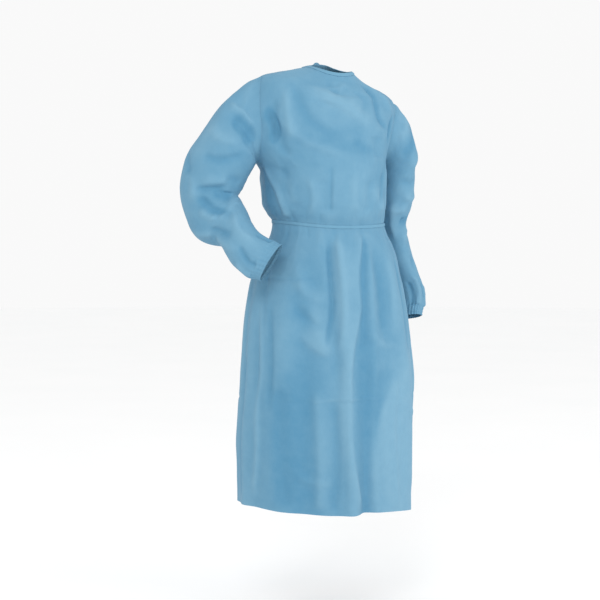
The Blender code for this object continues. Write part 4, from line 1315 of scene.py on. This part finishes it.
@dataclass
class BodyPanels:
    """The front, cut in one, and the two backs that pass each other down the middle."""

    cloth: BodyCloth
    front_columns: int = 150
    back_columns: int = 76
    armhole_rows: int = 60
    row_step: float = 0.0042

    def levels(self) -> Array:
        """Every row of a panel: even steps below and above the armhole, cosine ones along it.

        Returns:
            The rows' levels.
        """
        low = np.linspace(0.0, UP["armpit"], int(UP["armpit"] / self.row_step))
        high = np.linspace(UP["tip"], UP["neck"], int((UP["neck"] - UP["tip"]) / self.row_step))
        hole = self.cloth.armhole_up(np.linspace(0.0, 1.0, self.armhole_rows + 1))
        return np.concatenate([low, hole[1:-1], high])

    def front_grid(self) -> tuple[Array, Array]:
        """The front's grid: angles from one armhole to the other, hem to neck.

        Returns:
            Outer points and relief.
        """
        levels = self.levels()
        edge = math.pi / 2.0 - self.cloth.inset(levels, self.cloth.front_inset)
        theta = edge[:, None] * np.linspace(-1.0, 1.0, self.front_columns + 1)[None, :]
        points, _, relief = self.cloth.surface(theta, levels[:, None])
        return points, relief

    def back_grid(self, side: Side) -> tuple[Array, Array]:
        """One back's grid: angles from its side seam to its edge past the middle.

        Args:
            side: which back.

        Returns:
            Outer points and relief.
        """
        levels = self.levels()
        cloth = self.cloth
        past = cloth.past_middle(levels)
        start = math.pi / 2.0 + cloth.inset(levels, cloth.back_inset)
        across = np.linspace(0.0, 1.0, self.back_columns + 1)[None, :]
        theta = side.value * (start[:, None] + (math.pi + past - start)[:, None] * across)
        points, _, relief = cloth.surface(theta, levels[:, None], lifted=side is Side.LEFT)
        return points, relief

    def build(self, material: bpy.types.Material) -> None:
        """Makes the three panels.

        Args:
            material: the cloth's finish.
        """
        grid, relief = self.front_grid()
        front = cloth_object("front_cloth", grid, material, relief)
        finish_piece(front, ("front_panel",))
        for side in Side:
            grid, relief = self.back_grid(side)
            out = side is Side.LEFT
            back = cloth_object(f"back_cloth_{side.label}", grid, material, relief, outward=out)
            finish_piece(back, (f"back_panel_{side.label}",))


@dataclass
class Sleeve:
    """One sleeve, sewn into a tube and set into its armhole, with its gathered cuff."""

    side: Side
    stations: tuple[Station, ...]
    creases: tuple[Crease, ...]
    # soft patches of painted shade and painted light, read only by the finish
    painted_shading: tuple[Crease, ...]
    body: BodyCloth
    seed: int
    slack: float = 1.0  # how much of the usual buckles the sleeve has
    swell: float = 0.0028
    ridges: float = 0.0034
    columns: int = 120
    rings: int = 170
    cuff_length: float = 0.022
    cuff_rings: int = 14
    gathers: int = 26
    gather_depth: float = 0.0022
    gather_reach: float = 0.045  # metres up from the cuff
    elbow: tuple[float, float] = (0.30, 0.80)  # between these t the form is eased
    elbow_blend: float = 0.08  # of t, at each end of that
    ease_rings: int = 6
    edge_depth: float = 0.92  # the armhole's half depth, as a share of the first station's
    edge_rows: float = 3.5  # rows of the table over which the armhole's shape gives way
    tube: float = 0.062  # radius of the tube that stands for the sleeve where noise is read
    stretch: float = 1.05  # of that tube, along the sleeve
    start: float = 0.020  # metres from the armhole over which the creases grow
    least_length: float = 0.12  # metres that t may shrink to in the crook of the elbow
    edge_fades: tuple[tuple[float, float], ...] = ((0.35, 0.006), (0.65, 0.032))  # share, metres
    elastic_at: tuple[float, float] = (0.38, 0.72)  # where the two rows lie along the cuff
    elastic_width: float = 0.07
    elastic_depth: float = 0.0006

    def loop(self) -> tuple[Array, Array, Array]:
        """The armhole's edge, from the underarm up the front and down the back.

        Returns:
            Its points on the form, the way out there, and how far the cloth stands off.
        """
        up = self.body.armhole_up(np.linspace(0.0, 1.0, self.columns // 2 + 1))
        sign = self.side.value
        front = sign * (math.pi / 2.0 - self.body.inset(up, self.body.front_inset))
        back = sign * (math.pi / 2.0 + self.body.inset(up, self.body.back_inset))
        theta = np.concatenate([front, back[-2:0:-1]])
        rise = np.concatenate([up, up[-2:0:-1]])
        form = self.body.form
        return form.points(theta, rise), form.normals(theta, rise), self.body.height(theta, rise)

    def form(self) -> tuple[Array, Array, Array]:
        """The sleeve's plain form: ellipses between the table's points, and its first rings.

        Returns:
            The grid of points, the metres from the armhole, and each ring's half width.
        """
        edge, _, _ = self.loop()
        under, tip = edge[0], edge[self.columns // 2]
        first = np.concatenate([under, tip, [self.stations[0].half_depth * self.edge_depth]])
        rows = [np.array(s.inner + s.outer + (s.half_depth,)) for s in self.stations]
        table = np.vstack([first, *rows])
        row = np.linspace(0.0, len(table) - 1.0, self.rings + 1)
        cut = catmull(table, row)
        inner, outer, half_depth = cut[:, 0:3].copy(), cut[:, 3:6].copy(), cut[:, 6]
        inner[0], outer[0] = under, tip
        centre, across = (inner + outer) / 2.0, (outer - inner) / 2.0
        heading = unit(np.gradient(centre, axis=0))
        forward = unit(-self.side.value * np.cross(across, heading)) * half_depth[:, None]
        angle = math.pi * (1.0 - np.arange(self.columns) / (self.columns / 2.0))
        ellipse = (
            centre[:, None]
            + np.cos(angle)[None, :, None] * across[:, None]
            + np.sin(angle)[None, :, None] * forward[:, None]
        )
        height = ((1.0 + np.cos(angle)) / 2.0)[None, :, None]
        carried = (1.0 - height) * (inner - under)[:, None] + height * (outer - tip)[:, None]
        alive = smoothstep(row / self.edge_rows)[:, None, None]
        points = (edge[None] + carried) * (1.0 - alive) + ellipse * alive
        points[0] = edge
        reach = 0.5 * (np.linalg.norm(across, axis=1) + half_depth)
        return self.eased(points), run_of(centre), reach

    def eased(self, points: Array) -> Array:
        """The rings round the bent elbow averaged with their neighbours, by a bell curve.

        Args:
            points: the grid, one row a ring.

        Returns:
            The grid, soft where the arm bends and as it was towards the armhole and the cuff.
        """
        away = np.arange(-self.ease_rings * 2, self.ease_rings * 2 + 1)
        weight = bell(away / self.ease_rings)
        row = np.arange(len(points))
        near = np.clip(row[:, None] + away[None], 0, len(points) - 1)
        soft = np.einsum("k,rkcd->rcd", weight / weight.sum(), points[near])
        share = row / (len(points) - 1.0)
        low, high = self.elbow
        at_elbow = smoothstep((share - low) / self.elbow_blend)
        at_elbow = at_elbow * smoothstep((high - share) / self.elbow_blend)
        return points + (soft - points) * at_elbow[:, None, None]

    def normals(self, points: Array) -> Array:
        """Unit normals of a tube of closed rings, pointing out."""
        round_it = np.roll(points, -1, axis=1) - np.roll(points, 1, axis=1)
        return unit(-self.side.value * np.cross(round_it, np.gradient(points, axis=0)))

    def ripple(self, angle: Array) -> Array:
        """The gathers round the sleeve's end: a cosine whose count drifts, sharper outwards.

        Args:
            angle: angle round the sleeve.

        Returns:
            A height a point, about -1 to 1.
        """
        drift = 0.9 * np.sin(angle + self.seed) + 0.5 * np.sin(3.0 * angle + 1.3 * self.seed)
        wave = np.cos(self.gathers * angle + drift * 2.0)
        return (0.72 + 0.28 * np.sin(5.0 * angle + self.seed)) * (np.abs(1.0 + wave) ** 0.8 - 0.9)

    def grid(self) -> tuple[Array, Array]:
        """Outer points and relief of the sleeve, with its creases, buckles and gathers.

        Returns:
            The grid, one row a ring, and how far each point stands off the plain form, with the
            painted shading patches added.
        """
        points, down, reach = self.form()
        normals = self.normals(points)
        turn = np.repeat(turns(self.columns)[None, :], len(points), axis=0)
        share = np.linspace(0.0, 1.0, len(points))
        reach, metres, share = (along_rows(row, self.columns) for row in (reach, down, share))
        length = np.linalg.norm(np.gradient(points, axis=0), axis=-1) * self.rings
        length = np.maximum(length, self.least_length)
        places = np.stack(
            [self.tube * np.cos(turn), self.tube * np.sin(turn), self.stretch * metres], axis=-1
        )
        at_cuff = smoothstep((metres - down[-1] + self.gather_reach) / self.gather_reach)
        crumple = Crumple(self.seed, self.swell * self.slack, self.ridges * self.slack)
        height = self.body.boldness * crease_height(self.creases, turn, share, reach, length)
        height += (1.0 - 0.6 * at_cuff) * crumple.height(places)
        under = bell(np.minimum(turn, TURN - turn) * reach / self.body.seam_width)
        height -= self.body.seam_depth * under
        height *= smoothstep(metres / self.start)
        height += at_cuff**2 * self.gather_depth * 0.8 * self.ripple(turn)
        _, way, stands = self.loop()
        raised = sum(part * bell(metres / over) for part, over in self.edge_fades) * stands[None]
        # what the finish paints as shade in troughs and highlight on ridges, with the painted
        # shading patches
        relief = height + raised + crease_height(self.painted_shading, turn, share, reach, length)
        return points + height[..., None] * normals + raised[..., None] * way[None], relief

    def cuff_grid(self, sleeve: Array) -> tuple[Array, Array]:
        """The cuff: the last ring carried on and drawn in, with its gathers and two elastic rows.

        Args:
            sleeve: the sleeve's own grid.

        Returns:
            The cuff's outer points and their relief.
        """
        plain, _, _ = self.form()
        last, before = plain[-1], plain[-12]
        centre = last.mean(axis=0)
        heading = unit(last.mean(axis=0) - before.mean(axis=0))
        away = last - centre
        reach = np.linalg.norm(away, axis=1)
        share = np.linspace(0.0, 1.0, self.cuff_rings + 1)
        draw = np.interp(share, [0.0, 0.35, 0.7, 1.0], [1.0, 0.97, 0.945, 0.95])
        deep = np.interp(share, [0.0, 0.3, 0.8, 1.0], [0.8, 1.0, 1.0, 1.25])
        elastic = sum(bell((share - place) / self.elastic_width) for place in self.elastic_at)
        elastic = elastic[:, None]
        out = self.gather_depth * deep[:, None] * self.ripple(turns(self.columns))[None]
        out = out * (1.0 - 0.35 * elastic) - self.elastic_depth * elastic
        scale = draw[:, None] + out / reach[None]
        rings = centre + away[None] * scale[..., None]
        rings = rings + heading * (self.cuff_length * share)[:, None, None]
        rings[0] = sleeve[-1]
        return rings, out

    def build(self, material: bpy.types.Material) -> None:
        """Makes the sleeve and its cuff.

        Args:
            material: the cloth's finish.
        """
        grid, relief = self.grid()
        cuff, cuff_relief = self.cuff_grid(grid)
        name, outward = self.side.label, self.side is Side.RIGHT
        sleeve = cloth_object(f"sleeve_cloth_{name}", grid, material, relief, True, outward)
        finish_piece(sleeve, (f"sleeve_{name}",))
        band = cloth_object(f"cuff_cloth_{name}", cuff, material, cuff_relief, True, outward)
        finish_piece(band, (f"cuff_{name}",))


@dataclass
class Strip:
    """A narrow strip folded lengthwise and stitched, carried along a path on the cloth."""

    name: str
    width: float
    thickness: float
    around: int = 20
    stitch_at: float = 0.62  # where its stitched dent lies, as a share of its half width
    stitch_width: float = 0.14
    stitch_depth: float = 0.3  # of its thickness

    def outline(self) -> Array:
        """The strip's cut: a flat rounded box, the sine and cosine each raised to a low power.

        Returns:
            Places across and out, one row a point.
        """
        angle = turns(self.around)
        across = np.sign(np.cos(angle)) * np.abs(np.cos(angle)) ** 0.55
        out = np.sign(np.sin(angle)) * np.abs(np.sin(angle)) ** 0.75
        dent = 1.0 - self.stitch_depth * bell((across - self.stitch_at) / self.stitch_width)
        return np.stack([across * self.width / 2.0, out * dent * self.thickness / 2.0], axis=-1)

    def carry(self, centre: Array, across: Array, out: Array) -> Array:
        """The outline carried along a path: centre plus its two numbers along two directions."""
        flat = self.outline()[None]
        return centre[:, None] + flat[..., 0:1] * across[:, None] + flat[..., 1:2] * out[:, None]


def flip_if_inside_out(points: Array, faces: Ints) -> Ints:
    """Turns the faces of a closed mesh if its volume comes out below zero.

    Args:
        points: its points.
        faces: its quads.

    Returns:
        The faces, pointing out.
    """
    a, b, c, d = (points[faces[:, corner]] for corner in range(4))
    volume = np.einsum("ij,ij->", a, np.cross(b, c)) + np.einsum("ij,ij->", a, np.cross(c, d))
    return faces if volume > 0 else faces[:, ::-1]


@dataclass
class Ties:
    """The belt and the neck strip, their knots and their hanging ends."""

    cloth: BodyCloth
    belt_width: float = 0.008
    shown_width: float = 0.010  # a strip's width with its folded thickness
    belt_thick: float = 0.0018
    gap: float = 0.0006
    binding: float = 0.009
    columns: int = 360
    smoothing: int = 4  # points to each side that a strip's path is averaged with
    tail_rows: int = 60
    tuck: float = 0.9  # how far a tail's last outline is drawn in to close it
    knot_length: float = 0.1  # of the flat strip that a knot's finish is read from
    knot_rows: int = 96
    knot_sides: int = 24

    def ring_strip(
        self, strip: Strip, middle_up: float, off: float, material: bpy.types.Material
    ) -> tuple[bpy.types.Object, float]:
        """A strip all round the body at one level, over whichever panel lies outside.

        Args:
            strip: its outline.
            middle_up: the level of its middle.
            off: how far its middle stands off the cloth.
            material: its finish.

        Returns:
            The piece and its length round.
        """
        half = strip.width / 2.0
        points, normals = self.cloth.ring(
            np.array([middle_up - half, middle_up, middle_up + half]), self.columns
        )
        near = range(-self.smoothing, self.smoothing + 1)
        points = np.mean([np.roll(points, shift, axis=1) for shift in near], axis=0)
        turn = turns(self.columns)
        up_it = unit(points[2] - points[0])
        out = unit(normals[1] - up_it * np.sum(normals[1] * up_it, axis=-1, keepdims=True))
        around = np.stack([np.cos(turn), np.sin(turn), 0.0 * turn], axis=-1)
        wave = 0.0004 * CloudNoise(5).at(around * 9.0) + 0.0003 * CloudNoise(6).at(around * 23.0)
        centre = points[1] + out * (off + wave)[:, None]
        length = float(run_of(np.concatenate([centre, centre[:1]]))[-1])
        grid = strip.carry(centre, up_it, out)
        return self.strip_object(strip.name, grid, length, True, material), length

    def strip_object(
        self, name: str, grid: Array, length: float, joined: bool, material: bpy.types.Material
    ) -> bpy.types.Object:
        """A closed strip, its places on the flat cloth folded over at its edges so that they meet.

        Args:
            name: the piece's name.
            grid: its outlines, one a row.
            length: of the strip.
            joined: whether the last outline meets the first.
            material: its finish.

        Returns:
            The object.
        """
        rows, columns = grid.shape[:2]
        fold = np.abs(np.arange(columns) / (columns / 2.0) - 1.0)[None, :] * self.belt_width
        run = np.abs(np.arange(rows) / (rows / 2.0) - 1.0)[:, None] * length / 2.0
        flat = np.stack(np.broadcast_arrays(fold, run), axis=-1).reshape(-1, 2)
        points = grid.reshape(-1, 3)
        faces = flip_if_inside_out(points, grid_faces(rows, columns, True, joined))
        return mesh_object(name, points, faces, material, flat[faces].reshape(-1, 2))

    def tail(
        self, name: str, up: float, angles: tuple[float, float], length: float, off: float,
        material: bpy.types.Material, seed: int,
    ) -> tuple[bpy.types.Object, float]:
        """A hanging end, laid down the back at its stand-off, with a slack wave and a turned edge.

        Args:
            name: the piece's name.
            up: the level that it starts at.
            angles: degrees round the body at its top and its end.
            length: how far it hangs.
            off: how far it stands off the outer back.
            material: its finish.
            seed: what makes its wave its own.

        Returns:
            The piece and its length.
        """
        share = np.linspace(0.0, 1.0, self.tail_rows)
        rise = up - length * share
        turn = np.radians(angles[0] + (angles[1] - angles[0]) * share)
        base, normals, _ = self.cloth.surface(turn, rise)
        sway = 0.0011 * np.sin(TURN * (1.6 * share + 0.13 * seed)) * smoothstep(share / 0.2)
        centre = base + normals * (self.cloth.lift + off + np.abs(sway))[:, None]
        heading = unit(np.gradient(centre, axis=0))
        across = unit(np.cross(heading, normals))
        roll = 0.28 * np.sin(TURN * (0.9 * share + 0.21 * seed)) * smoothstep(share / 0.15)
        out = unit(np.cross(across, heading))
        tilted = across * np.cos(roll)[:, None] + out * np.sin(roll)[:, None]
        strip = Strip(name, self.belt_width * 0.96, 0.0013)
        grid = strip.carry(centre, tilted, unit(np.cross(tilted, heading)))
        ends = (grid[:1], grid[-1:])
        first, last = (end + self.tuck * (end.mean(axis=1, keepdims=True) - end) for end in ends)
        closed = np.concatenate([first, grid, last], axis=0)
        run = float(run_of(centre)[-1])
        return self.strip_object(name, closed, run, False, material), run

    def knot(
        self, name: str, up: float, size: tuple[float, float, float], off: float,
        material: bpy.types.Material,
    ) -> bpy.types.Object:
        """A knot in the middle of the back: a strip carried along a three-lobed closed path.

        The path is x = sin a + 2 sin 2a, y = cos a - 2 cos 2a, out = -sin 3a, scaled to the
        knot's size, and the strip's cut is an ellipse with pleats along it.

        Args:
            name: the piece's name.
            up: its level.
            size: across, out and up.
            off: how far its back stands off the outer panel.
            material: its finish.

        Returns:
            The piece.
        """
        theta, level_of = np.array([math.pi]), np.array([up])
        outward = self.cloth.form.normals(theta, level_of)[0]
        base = self.cloth.form.points(theta, level_of)[0]
        centre = base + outward * (self.cloth.lift + off + size[1] / 2.0)
        across = np.array([-1.0, 0.0, 0.0])
        upward = np.cross(across, outward)
        thick = 0.30 * size[1]
        a = turns(self.knot_rows)
        wide, tall = (size[0] / 2.0 - thick * 0.9) / 2.65, (size[2] / 2.0 - thick * 0.9) / 2.65
        path = (
            centre
            + (np.sin(a) + 2.0 * np.sin(2.0 * a))[:, None] * wide * across
            + (np.cos(a) - 2.0 * np.cos(2.0 * a))[:, None] * tall * upward
            - np.sin(3.0 * a)[:, None] * (size[1] / 2.0 - thick) * outward
        )
        heading = unit(np.roll(path, -1, axis=0) - np.roll(path, 1, axis=0))
        flatwise = unit(np.cross(heading, outward))
        lift = unit(np.cross(flatwise, heading))
        b = turns(self.knot_sides)
        pleat = 1.0 + 0.10 * np.cos(5.0 * b)[None, :] + 0.06 * np.cos(8.0 * a)[:, None]
        grid = (
            path[:, None]
            + (1.30 * thick * pleat * np.cos(b)[None])[..., None] * flatwise[:, None]
            + (0.92 * thick * pleat * np.sin(b)[None])[..., None] * lift[:, None]
        )
        return self.strip_object(name, grid, self.knot_length, True, material)

    def build(self, material: bpy.types.Material) -> None:
        """Makes the belt, the neck strip, and the knots and ends that close them.

        Args:
            material: the strips' finish.
        """
        neck_up = UP["neck"] - self.binding / 2.0
        middle = self.gap + self.belt_thick / 2.0
        belt = Strip("belt_strip", self.belt_width, self.belt_thick)
        neck = Strip("neck_strip", self.binding + 0.0012, 0.0026)
        for strip, up, off, shown, node in (
            (belt, UP["waist"], middle, self.shown_width, "belt"),
            (neck, neck_up + 0.0004, 0.0006, neck.width, "neck_binding"),
        ):
            piece, length = self.ring_strip(strip, up, off, material)
            LOG.info("%s length %.4f", strip.name, length)
            finish_piece(piece, (node,))
        for name, up, size, off in (
            ("belt_knot", UP["waist"], (0.030, 0.012, 0.018), self.gap + self.belt_thick + 0.0011),
            ("neck_knot", neck_up, (0.022, 0.008, 0.012), self.gap + 0.0021),
        ):
            knot = self.knot(f"{name}_cloth", up, size, off, material)
            finish_piece(knot, (name,))
        belt_end, neck_end = UP["waist"] - 0.0120, neck_up - 0.0055
        for number, (name, up, angles, length, off) in enumerate((
            ("belt_end_left", belt_end, (178.6, 172.0), 0.2365, 0.0047),
            ("belt_end_right", belt_end, (183.8, 188.5), 0.2130, 0.0047),
            ("neck_end_left", neck_end, (173.5, 170.5), 0.1213, 0.0030),
            ("neck_end_right", neck_end, (186.5, 189.5), 0.1093, 0.0030),
        )):
            tail, run = self.tail(f"{name}_cloth", up, angles, length, off, material, number)
            finish_piece(tail, (name,))


@dataclass
class Stitching:
    """Overlock stitches: short thread rungs that bridge each seam on the outside."""

    body: BodyCloth
    pitch: float = 0.0036
    long: float = 0.0030
    thread: float = 0.00034
    sides: int = 6
    rings: int = 7  # outlines along each stitch
    sag: float = 0.00045  # how much further out a stitch's middle stands
    off: float = 0.0001
    slant: float = 0.35  # how far each stitch leans along its seam, as a share of its length
    samples: int = 260  # points that a straight seam is read at
    clear: float = 0.004  # metres between a straight seam's stitches and its ends
    clear_of_neck: float = 0.012

    def rungs(self, path: Array, out: Array) -> tuple[Array, Ints]:
        """Capsules across a seam: an outline that swells and closes, carried over each stitch.

        Args:
            path: points along the seam.
            out: the way out there.

        Returns:
            Points and quads of all the rungs.
        """
        run = run_of(path)
        at = np.arange(self.pitch / 2.0, run[-1], self.pitch)
        centre, normal, along = (
            np.stack([np.interp(at, run, line[:, k]) for k in range(3)], axis=-1)
            for line in (path, out, np.gradient(path, run, axis=0))
        )
        normal, along = unit(normal), unit(along)
        lean = self.slant * np.where(np.arange(len(at)) % 2 == 0, 1.0, -1.0)[:, None]
        across = unit(np.cross(normal, along) + lean * along)
        third = np.cross(across, normal)
        share = np.linspace(-1.0, 1.0, self.rings)[:, None]
        fat = self.thread * np.sqrt(np.clip(1.0 - share**4, 0.02, 1.0))
        turn = turns(self.sides)[None]
        out_by = self.off + self.sag * (1.0 - share**2) + fat * np.sin(turn)
        grid = (
            centre[:, None, None]
            + normal[:, None, None] * out_by[None, ..., None]
            + across[:, None, None] * (share * self.long / 2.0)[None, ..., None]
            + third[:, None, None] * (fat * np.cos(turn))[None, ..., None]
        )
        one = grid_faces(self.rings, self.sides, True)
        faces = one[None] + (np.arange(len(at)) * self.rings * self.sides)[:, None, None]
        return grid.reshape(-1, 3), faces.reshape(-1, 4)

    def paths(self) -> list[tuple[str, Array, Array]]:
        """The straight seams of the body: two sides and two shoulders.

        Returns:
            A name, points and ways out for each.
        """
        spans = (
            ("side", self.clear, UP["armpit"] - self.clear),
            ("shoulder", UP["tip"] + self.clear, UP["neck"] - self.clear_of_neck),
        )
        found = []
        for side, (kind, low, high) in product(Side, spans):
            up = np.linspace(low, high, self.samples)
            theta = np.full(self.samples, side.value * math.pi / 2.0)
            points, out, _ = self.body.surface(theta, up)
            found.append((f"{kind}_stitches_{side.label}", points, out))
        return found

    def build(self, sleeves: tuple[Sleeve, ...], material: bpy.types.Material) -> None:
        """Makes the stitches of every seam.

        Args:
            sleeves: the sleeves, for their armhole and underarm seams.
            material: the thread's finish.
        """
        seams = self.paths()
        for sleeve in sleeves:
            grid, _ = sleeve.grid()
            normals = sleeve.normals(grid)
            hole, out = (np.concatenate([row, row[:1]]) for row in (grid[0], normals[1]))
            seams.append((f"armhole_stitches_{sleeve.side.label}", hole, out))
            seams.append((f"underarm_stitches_{sleeve.side.label}", grid[1:, 0], normals[1:, 0]))
        for name, path, out in seams:
            points, faces = self.rungs(path, out)
            finish_piece(mesh_object(name, points, faces, material))


@dataclass
class Studio:
    """A pale floor, soft light and the camera at the picture's angle."""

    floor_z: float = -1.41
    floor_radius: float = 14.0
    azimuth: float = 25.0
    pitch: float = 3.0
    distance: float = 4.03
    lens: float = 93.36
    aim: tuple[float, float, float] = (-0.067, 0.030, -0.598)
    lit: tuple[float, float, float] = (0.0, 0.0, -0.55)
    room_light: float = 0.95
    rings: int = 24
    spokes: int = 96

    def floor(self, material: bpy.types.Material) -> None:
        """The floor: a disc of rings and spokes, its radius the square of a parameter.

        Args:
            material: its finish.
        """
        radius = self.floor_radius * np.linspace(0.0005, 1.0, self.rings)[:, None] ** 2
        turn = turns(self.spokes)[None]
        x, y, z = np.broadcast_arrays(radius * np.cos(turn), radius * np.sin(turn), self.floor_z)
        points = np.stack([x, y, z], axis=-1).reshape(-1, 3)
        mesh_object("floor", points, grid_faces(self.rings, self.spokes, True), material)

    def aimed(
        self, name: str, data: bpy.types.ID, place: Vector, way: Vector
    ) -> bpy.types.Object:
        """An object in the scene that stands at a place and looks along a way.

        Args:
            name: the object's name.
            data: its light or camera.
            place: where it stands.
            way: where it looks.

        Returns:
            The object.
        """
        obj = bpy.data.objects.new(name, data)
        obj.location = place
        obj.rotation_euler = way.to_track_quat("-Z", "Y").to_euler()
        bpy.context.scene.collection.objects.link(obj)
        return obj

    def light(
        self, name: str, place: tuple[float, float, float], size: float, power: float
    ) -> None:
        """A soft square light aimed at the gown's middle.

        Args:
            name: the light's name.
            place: where it stands.
            size: the length of its sides.
            power: watts.
        """
        lamp = bpy.data.lights.new(name, "AREA")
        lamp.shape = "SQUARE"
        lamp.size = size
        lamp.energy = power
        self.aimed(name, lamp, Vector(place), Vector(self.lit) - Vector(place))

    def world(self) -> None:
        """An even white room light."""
        world = bpy.data.worlds.new("white room")
        world.use_nodes = True
        back = world.node_tree.nodes["Background"]
        back.inputs["Color"].default_value = (1.0, 1.0, 1.0, 1.0)
        back.inputs["Strength"].default_value = self.room_light
        bpy.context.scene.world = world

    def camera(self) -> None:
        """The camera: back from the aim by the distance, along the azimuth and the pitch."""
        turn, dip = math.radians(self.azimuth), math.radians(self.pitch)
        flat = math.cos(dip)
        way = Vector((math.sin(turn) * flat, math.cos(turn) * flat, -math.sin(dip)))
        lens = bpy.data.cameras.new("camera")
        lens.sensor_width = 36.0
        lens.sensor_fit = "HORIZONTAL"
        lens.lens = self.lens
        lens.clip_end = 60.0
        place = Vector(self.aim) - way * self.distance
        bpy.context.scene.camera = self.aimed("camera", lens, place, way)

    def build(self, material: bpy.types.Material) -> None:
        """Sets up the floor, the lights, the room and the camera.

        Args:
            material: the floor's finish.
        """
        self.camera()
        self.floor(material)
        self.world()
        self.light("key", (-2.5, -3.5, 2.3), 1.8, 62.0)
        self.light("fill", (2.6, -3.4, 0.4), 2.4, 50.0)
        bpy.context.scene.view_settings.view_transform = "Standard"


def main() -> None:
    """Builds the gown piece by piece, in order."""
    logging.basicConfig(level=logging.INFO, format="%(message)s", force=True)
    cloth = SpunbondCloth().build()
    # the strip's own painted highlight and painted shade colours, though the strips carry no relief
    strip = SpunbondCloth(
        name="folded spunbond strip", pale="#74a0b8", deep="#5c8eaa", crinkle_size=0.006,
    ).build()
    Studio().build(StudioPaper().build())
    body = BodyCloth()
    BodyPanels(body).build(cloth)
    right = (Side.RIGHT, RIGHT_STATIONS, RIGHT_CREASES, RIGHT_PAINTED_SHADING)
    left = (Side.LEFT, LEFT_STATIONS, LEFT_CREASES, LEFT_PAINTED_SHADING)
    sleeves = (
        Sleeve(*right, body, seed=61, gather_depth=0.0013), Sleeve(*left, body, seed=83, slack=0.7)
    )
    for sleeve in sleeves:
        sleeve.build(cloth)
    Ties(body).build(strip)
    Stitching(body).build(sleeves, SewingThread().build())


if __name__ == "__main__":
    main()
